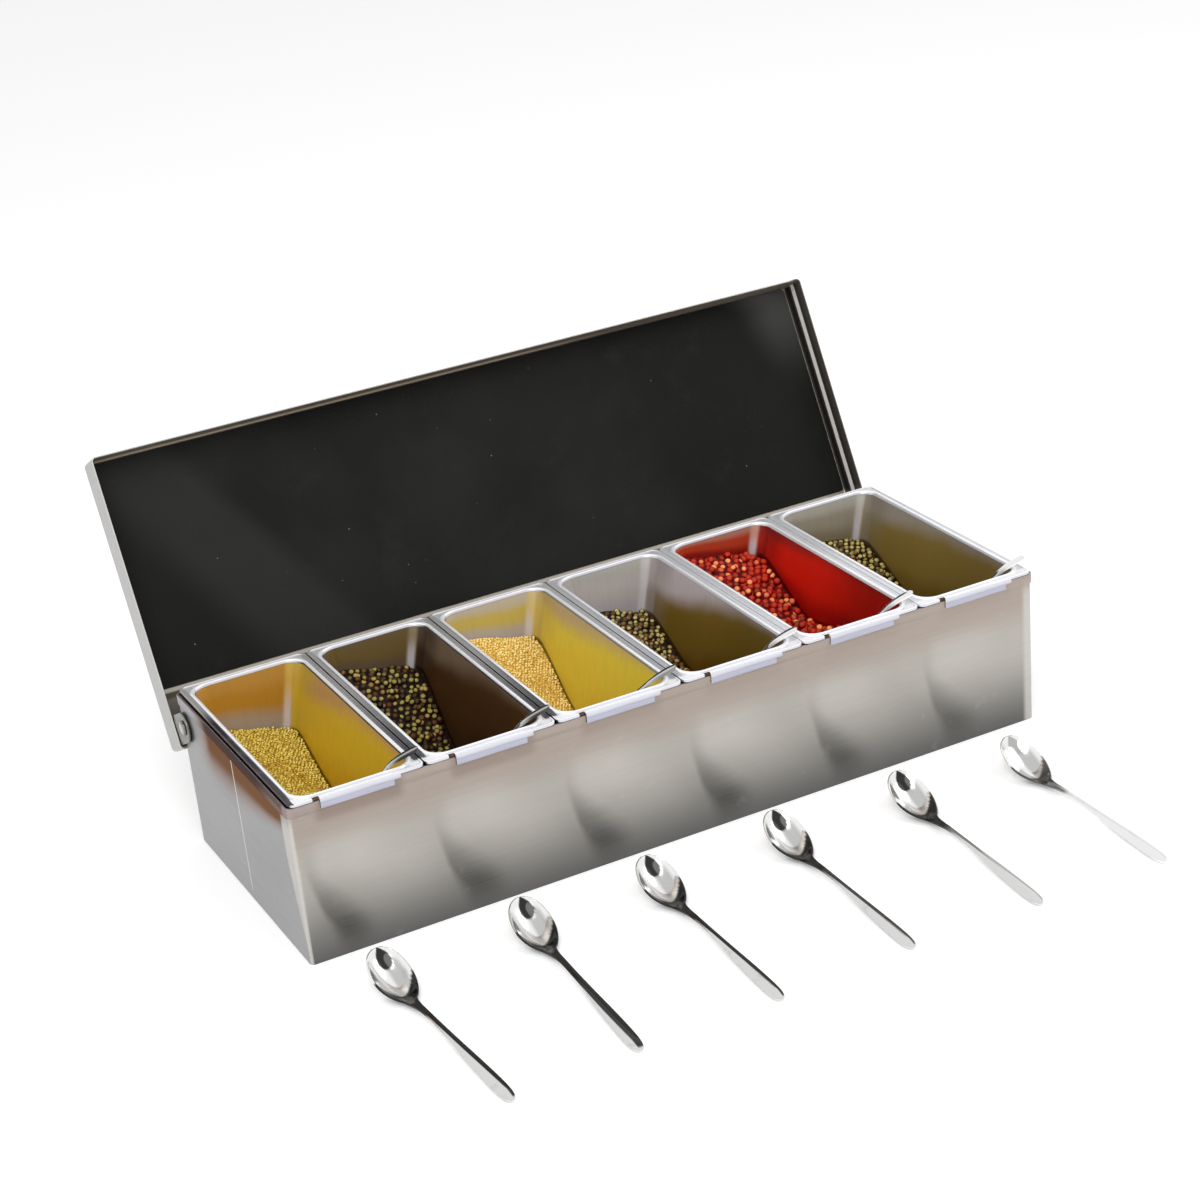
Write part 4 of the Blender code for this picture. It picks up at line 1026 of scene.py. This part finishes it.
class SPICE_BOX_OT_spices(Maker, bpy.types.Operator):
    """Granules and peppercorns lying on the fill of each pan"""
    bl_idname = "spice_box.spices"
    bl_label = "Spices"

    def make(self, sizes, colours):
        for index, spice in enumerate(SPICES):
            dress(f"spice_{index + 1}", bed_finish(index))
            work = self.grains(sizes, index, spice["size"], spice["fine"])
            piece_from(work, f"spice_{index + 1}_grains", [grain_finish(index)], f"pan_{index + 1}_body",
                       sharp=180)

    def spots(self, chance, half_x, half_y, size, fine):
        """Staggered rows of places, with more of them a little higher in between."""
        spots = []
        step = size * (0.98 if fine else 0.94)
        apart = step * 0.87
        for row in range(int(2 * half_y / apart)):
            y = -half_y + size * 0.55 + row * apart
            x = -half_x + size * 0.5 + (step / 2 if row % 2 else 0.0)
            while x < half_x - size * 0.45:
                off_x, off_y = (chance.uniform(-GRAIN_OFF, GRAIN_OFF) * size for _ in range(2))
                spots.append((x + off_x, y + off_y, 0.0))
                x += step
        for _ in range(int(len(spots) * (0.25 if fine else 0.30))):
            x = chance.uniform(-half_x + size, half_x - size)
            spots.append((x, chance.uniform(-half_y + size, half_y - size), size * GRAIN_RAISED))
        return spots

    def grains(self, sizes, index, size, fine):
        chance = random.Random(FIRST_SEED + index)
        front, _, rear = SPICES[index]["depths"]
        half_x, half_y, _ = pan_walls(sizes, min(rear, front) - 0.003)
        low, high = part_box(f"pan_spoon_{index + 1}")
        whole, batch = bmesh.new(), None
        whole.verts.layers.float.new("shade")
        for count, (x, y, lift) in enumerate(self.spots(chance, half_x, half_y, size, fine)):
            depth, reach_x, reach_y = fill_spot(sizes, index, x, y)
            at_x, at_y = pan_middle(index) + x, sizes.pan_mid_y + y
            if abs(x) > reach_x - size * 0.5 or abs(y) > reach_y - size * 0.5:
                continue
            if at_y < high.y + BOWL_BEHIND and at_x < low.x + BOWL_LENGTH:
                continue
            wave = math.sin(x * LUMPS_ACROSS + 1.7 * index) * math.cos(at_y * LUMPS_ALONG + 3.4 * index)
            crown = math.cos(math.pi * min(abs(x) / (PAN_WIDTH / 2 - sizes.pan_rim), 1.0) / 2)
            z = PAN_TOP - depth + FILL_LUMP * wave + FILL_SWELL * crown + lift + chance.uniform(*GRAIN_SUNK) * size
            if batch is None:
                batch = bmesh.new()
                mark = batch.verts.layers.float.new("shade")
            angle = chance.uniform(0, 6.28)
            turn = Matrix.Rotation(angle, 4, Vector((chance.uniform(-1, 1), chance.uniform(-1, 1), 0.3)))
            grow = [size / 2 * chance.uniform(0.84, 1.06) for _ in range(3)]
            place = Matrix.Translation((at_x, at_y, z)) @ turn @ Matrix.Diagonal((*grow, 1.0))
            ball = bmesh.ops.create_icosphere(batch, subdivisions=1 if fine else 2, radius=1.0, matrix=place)
            shade = chance.random()
            for v in ball["verts"]:
                v[mark] = shade
            if count % GRAINS_AT_ONCE == GRAINS_AT_ONCE - 1:
                batch = self.add(whole, batch)
        if batch is not None:
            self.add(whole, batch)
        return whole

    def add(self, whole, batch):
        """Moves a batch of grains into the whole. Small batches are quick to make."""
        mesh = bpy.data.meshes.new("batch")
        batch.to_mesh(mesh)
        batch.free()
        whole.from_mesh(mesh)
        bpy.data.meshes.remove(mesh)


# Spoons.


def spoon_finish(name, colours):
    """Mirror polish with painted dark reflections where the bowl and handle turn away."""
    made = Finish(name, colours.spoon, metallic=0.95, roughness=0.10)
    wave = made.noise(1.0, stretch=(90.0, 90.0, 90.0))
    hair = made.noise(1.0, 4.0, stretch=(260.0, 40.0, 260.0))
    shade = made.marked("shade").math("ADD", wave.ramp(0.55, 0.8, 0.0, 0.12), clamp=True)
    made.lay(shade.ramp(0.0, 0.5), (0.42, 0.42, 0.41))
    made.lay(shade.ramp(0.4, 0.95), colours.spoon_shade)
    return made.done(hair, (0.06, 0.20), bump=0.03)


def spoon_piece(name, look, at, place, sheet, rows, across):
    """Bends a grid into a spoon. at gives a point and its shade for a share across and a place along."""
    work = bmesh.new()
    mark = work.verts.layers.float.new("shade")
    bmesh.ops.create_grid(work, x_segments=across, y_segments=rows, size=1.0)
    for v in work.verts:
        v.co, v[mark] = at(v.co.x, (v.co.y + 1) / 2)
    face_out(work)
    if sum(f.normal.z for f in work.faces) < 0:
        bmesh.ops.reverse_faces(work, faces=work.faces)
    bmesh.ops.transform(work, matrix=place, verts=work.verts)
    piece = piece_from(work, f"{name}_polished", [look], f"{name}_body", name, sharp=60)
    wall = piece.modifiers.new("sheet", "SOLIDIFY")
    wall.thickness = sheet
    wall.offset = -1.0
    soft = piece.modifiers.new("soft_edge", "BEVEL")
    soft.width = sheet * 0.33
    soft.segments = 3
    soft.limit_method = "ANGLE"
    soft.angle_limit = math.radians(50)


class SPICE_BOX_OT_table_spoons(Maker, bpy.types.Operator):
    """Six table spoons lying in a row in front of the case"""
    bl_idname = "spice_box.table_spoons"
    bl_label = "Table Spoons"

    def make(self, sizes, colours):
        last = len(TABLE_SPOON_FORM) - 1

        def middle(place):
            share, width, height, dip = between(TABLE_SPOON_FORM, min(max(place, 0.0), 1.0) * last)
            return Vector((0, -share * sizes.spoon_length, height * sizes.spoon_arch)), share, width, dip

        def form(side, place, drop=0.0):
            """A point of the spoon, and its share of the length."""
            centre, share, width, dip = middle(place)
            along = (middle(place + 0.01)[0] - middle(place - 0.01)[0]).normalized()
            half = max(width, 0.02) * sizes.spoon_bowl_width / 2
            ridge = step_up(share, 0.24, 0.40) * (1 - step_up(share, 0.93, 1.0)) * min(width / 0.36, 1.0)
            rise = sizes.spoon_crown * ridge * (1 - abs(side) ** 1.4)
            rise -= sizes.spoon_bowl_depth * dip * (1 - side * side) + drop
            return centre + Vector((0, along.z, -along.y)) * rise + Vector((side * half, 0, 0)), share

        steps = 80
        lift = 0.0001 - min(form(0.0, row / steps, sizes.spoon_sheet)[0].z for row in range(steps + 1))
        for index, (shift, gap, turn, shades) in enumerate(TABLE_SPOONS):

            def at(side, place):
                point, share = form(side, place)
                return point + Vector((0, 0, lift)), self.shade(side, share, *shades)

            spot = Vector((pan_middle(index) + shift, -sizes.case_half_depth - gap, 0))
            place = Matrix.Translation(spot) @ Matrix.Rotation(math.radians(turn), 4, "Z")
            name = f"table_spoon_{index + 1}"
            look = spoon_finish(f"{name}_polish", colours)
            spoon_piece(name, look, at, place, sizes.spoon_sheet, rows=130, across=20)

    def shade(self, side, share, tip_dark, throat_dark, handle_dark, reach):
        """Painted reflections: a dark patch at the tip, a grey band to the right, a dark throat and a dark flank
        along the handle.
        """
        bowl = share / BOWL_END
        tip = 1 - step_up(math.hypot((bowl - 0.13) / 0.17, (side - 0.20) / 0.50), 0.80, 1.05)
        grey = 0.34 * step_up(bowl, 0.10, 0.26) * step_up(side, -0.05, 0.20) * (1 - step_up(side, 0.72, 0.90))
        throat = step_up(bowl - (0.76 - 0.30 * side * side), 0.0, 0.06)
        throat *= (1 - step_up(share, 0.30, 0.44) * (1 - handle_dark)) * (1 - step_up(share, 0.36, 0.46))
        flank = step_up(share, 0.25, 0.32) * step_up(side - (-0.85 - reach + (share - 0.32) * 1.9), 0.0, 0.18)
        flank *= (1 - step_up(share, 0.975, 0.995)) * handle_dark
        handle = 0.22 * step_up(share, 0.30, 0.42) * min(handle_dark * 2, 1.0)
        return max(tip * tip_dark, throat * throat_dark, grey * (1 - step_up(bowl, 0.62, 0.78)), flank * 0.95, handle)


class SPICE_BOX_OT_pan_spoons(Maker, bpy.types.Operator):
    """Six small spoons, each lying in its pan with the handle over the front right corner"""
    bl_idname = "spice_box.pan_spoons"
    bl_label = "Pan Spoons"

    def make(self, sizes, colours):
        look = spoon_finish("pan_spoon_polish", colours)
        for index, spice in enumerate(SPICES):
            line = self.line(sizes, spice["depths"][0], spice["stub"])
            heading = line[-1][0] - line[0][0]
            across = Vector((-heading.y, heading.x, 0)).normalized()
            table = [(*point, *rest) for point, *rest in line]

            def at(side, place):
                x, y, z, half, dip, shade = between(table, place * (len(table) - 1))
                point = Vector((x, y, z)) + across * side * half
                point.z += -dip * (1 - side * side) + 0.0004 * (1 - abs(side) ** 1.5) * (0 if dip > 0.0002 else 1)
                # The painted dark reflection is stronger on one side of the spoon.
                return point, max(shade * step_up(-side, -0.2, 0.8), 0.5 * shade)

            place = Matrix.Translation((pan_middle(index), 0, 0))
            spoon_piece(f"pan_spoon_{index + 1}", look, at, place, sheet=0.0011, rows=70, across=12)

    def line(self, sizes, depth, stub_shade):
        """Middle line of the spoon with half width, dip and the shade of its painted reflections at each point."""
        handle, stub_wider = 0.0023, 0.0009
        front, rim = sizes.pan_mid_y - sizes.pan_half_y, PAN_TOP + 0.0011
        tip = Vector((-pan_walls(sizes, depth)[0] + 0.0035, front + 0.0165, PAN_TOP - depth + 0.0063))
        rest = Vector((PAN_WIDTH / 2 - sizes.pan_rim - 0.013, front + 0.0018, rim + 0.0006))
        end = Vector((PAN_WIDTH / 2 - 0.0006, front + 0.0004, rim + 0.0058))
        heading = Vector((rest.x - tip.x, rest.y - tip.y, 0)).normalized()
        neck = tip + heading * 0.023 + Vector((0, 0, 0.0052))
        rows = []
        for share, width, dip in ((0.0, 0.16, 0.05), (0.05, 0.45, 0.25), (0.18, 0.78, 0.62), (0.40, 1.0, 1.0),
                                  (0.62, 0.93, 0.88), (0.82, 0.62, 0.42), (1.0, 0.30, 0.08)):
            rows.append((tip.lerp(neck, share), 0.008 * width, 0.0032 * dip, 0.2))
        for share, drop in ((0.14, 0.9), (0.35, 1.0), (0.62, 0.0), (0.85, -0.1), (1.0, 0.0)):
            spot = neck.lerp(rest, share) - Vector((0, 0, drop * 0.0016))
            rows.append((spot, handle * (0.75 + 0.2 * share), 0.0, 1.0 if share < 0.7 else 0.45))
        for share, lift, width in ((0.35, 1.0, 0.98), (0.70, 0.75, 1.0), (0.93, 0.25, 0.9), (1.0, 0.0, 0.35)):
            wider = stub_wider * min(share * 2, 1.0)
            spot = rest.lerp(end, share) + Vector((0, wider, lift * 0.0004))
            rows.append((spot, (handle + wider) * width, 0.0, stub_shade))
        return rows


# Stage.


class SPICE_BOX_OT_stage(Maker, bpy.types.Operator):
    """Pale floor, soft light from above and the camera"""
    bl_idname = "spice_box.stage"
    bl_label = "Stage"

    def make(self, sizes, colours):
        work = bmesh.new()
        plate(work, 4.0, 4.0, (0, 0, 0))
        mesh = bpy.data.meshes.new("floor")
        work.to_mesh(mesh)
        work.free()
        made = Finish("pale_floor", colours.floor, metallic=0.0, roughness=0.9, specular=0.1)
        # The floor shows a little paler to the camera and in reflections than it is lit.
        made.shader["Emission Color"].default_value = (1, 1, 1, 1)
        made.feed(made.shader["Emission Strength"], made.seen("Glossy") * 0.16)
        mesh.materials.append(made.done())
        floor = self.link("floor", mesh)
        floor.location.z = -0.0002
        self.lamp("key", (-0.9, -1.3, 1.9), 26.0)
        self.lamp("fill", (1.5, -0.5, 1.6), 10.0)
        self.sky()
        self.camera()
        bpy.context.scene.view_settings.view_transform = "Standard"

    def link(self, name, data):
        made = bpy.data.objects.new(name, data)
        bpy.context.scene.collection.objects.link(made)
        return made

    def lamp(self, name, spot, power):
        data = bpy.data.lights.new(name, "AREA")
        data.shape = "DISK"
        data.size = 1.6
        data.energy = power
        lamp = self.link(name, data)
        lamp.location = spot
        lamp.rotation_euler = (Vector((0, 0, 0.05)) - Vector(spot)).to_track_quat("-Z", "Y").to_euler()

    def sky(self):
        """White to the camera and in reflections, a little dimmer as light."""
        world = bpy.data.worlds.new("sky")
        bpy.context.scene.world = world
        world.use_nodes = True
        made = Nodes(world.node_tree)
        shine = world.node_tree.nodes["Background"].inputs
        shine["Color"].default_value = (1, 1, 1, 1)
        made.feed(shine["Strength"], made.seen("Glossy", "Transmission").ramp(0.0, 1.0, 0.75, 1.0))

    def camera(self):
        """Stands where the photograph was taken from."""
        data = bpy.data.cameras.new("camera")
        data.sensor_width = SENSOR_WIDTH
        data.lens = FOCAL_LENGTH / PICTURE_WIDTH * SENSOR_WIDTH
        data.shift_y = 0.1
        data.clip_start = 0.05
        camera = self.link("camera", data)
        turn, tilt, roll = (math.radians(angle) for angle in (CAMERA_TURN, CAMERA_TILT, CAMERA_ROLL))
        back = Vector((math.sin(turn) * math.cos(tilt), -math.cos(turn) * math.cos(tilt), math.sin(tilt)))
        facing = back.to_track_quat("Z", "Y").to_matrix().to_4x4() @ Matrix.Rotation(roll, 4, "Z")
        camera.matrix_world = Matrix.Translation(CAMERA_AIM + back * CAMERA_DISTANCE) @ facing
        bpy.context.scene.camera = camera


OPERATORS = (
    SPICE_BOX_OT_stage, SPICE_BOX_OT_case, SPICE_BOX_OT_case_floor, SPICE_BOX_OT_lid, SPICE_BOX_OT_lid_liner,
    SPICE_BOX_OT_hinge, SPICE_BOX_OT_pans, SPICE_BOX_OT_spices, SPICE_BOX_OT_pan_spoons, SPICE_BOX_OT_table_spoons,
)


class SPICE_BOX_PT_panel(bpy.types.Panel):
    """Lists the pieces of the spice box with their sizes and colours"""
    bl_idname = "SPICE_BOX_PT_panel"
    bl_label = "Spice Box"
    bl_space_type = "VIEW_3D"
    bl_region_type = "UI"
    bl_category = "Spice Box"

    def draw(self, context):
        for operator in OPERATORS:
            self.layout.operator(operator.bl_idname)
        for group in (context.scene.spice_box_sizes, context.scene.spice_box_colours):
            box = self.layout.box()
            for name in group.bl_rna.properties.keys():
                if name not in ("rna_type", "name"):
                    box.prop(group, name, text=name.replace("_", " ").capitalize())


CLASSES = (SpiceBoxSizes, SpiceBoxColours, *OPERATORS, SPICE_BOX_PT_panel)


def register():
    for kind in CLASSES:
        bpy.utils.register_class(kind)
    bpy.types.Scene.spice_box_sizes = bpy.props.PointerProperty(type=SpiceBoxSizes)
    bpy.types.Scene.spice_box_colours = bpy.props.PointerProperty(type=SpiceBoxColours)


def unregister():
    del bpy.types.Scene.spice_box_colours
    del bpy.types.Scene.spice_box_sizes
    for kind in reversed(CLASSES):
        bpy.utils.unregister_class(kind)


def main():
    register()
    bpy.ops.spice_box.stage()
    bpy.ops.spice_box.case()
    bpy.ops.spice_box.case_floor()
    bpy.ops.spice_box.lid()
    bpy.ops.spice_box.lid_liner()
    bpy.ops.spice_box.hinge()
    bpy.ops.spice_box.pans()
    bpy.ops.spice_box.spices()
    bpy.ops.spice_box.pan_spoons()
    bpy.ops.spice_box.table_spoons()


if __name__ == "__main__":
    main()
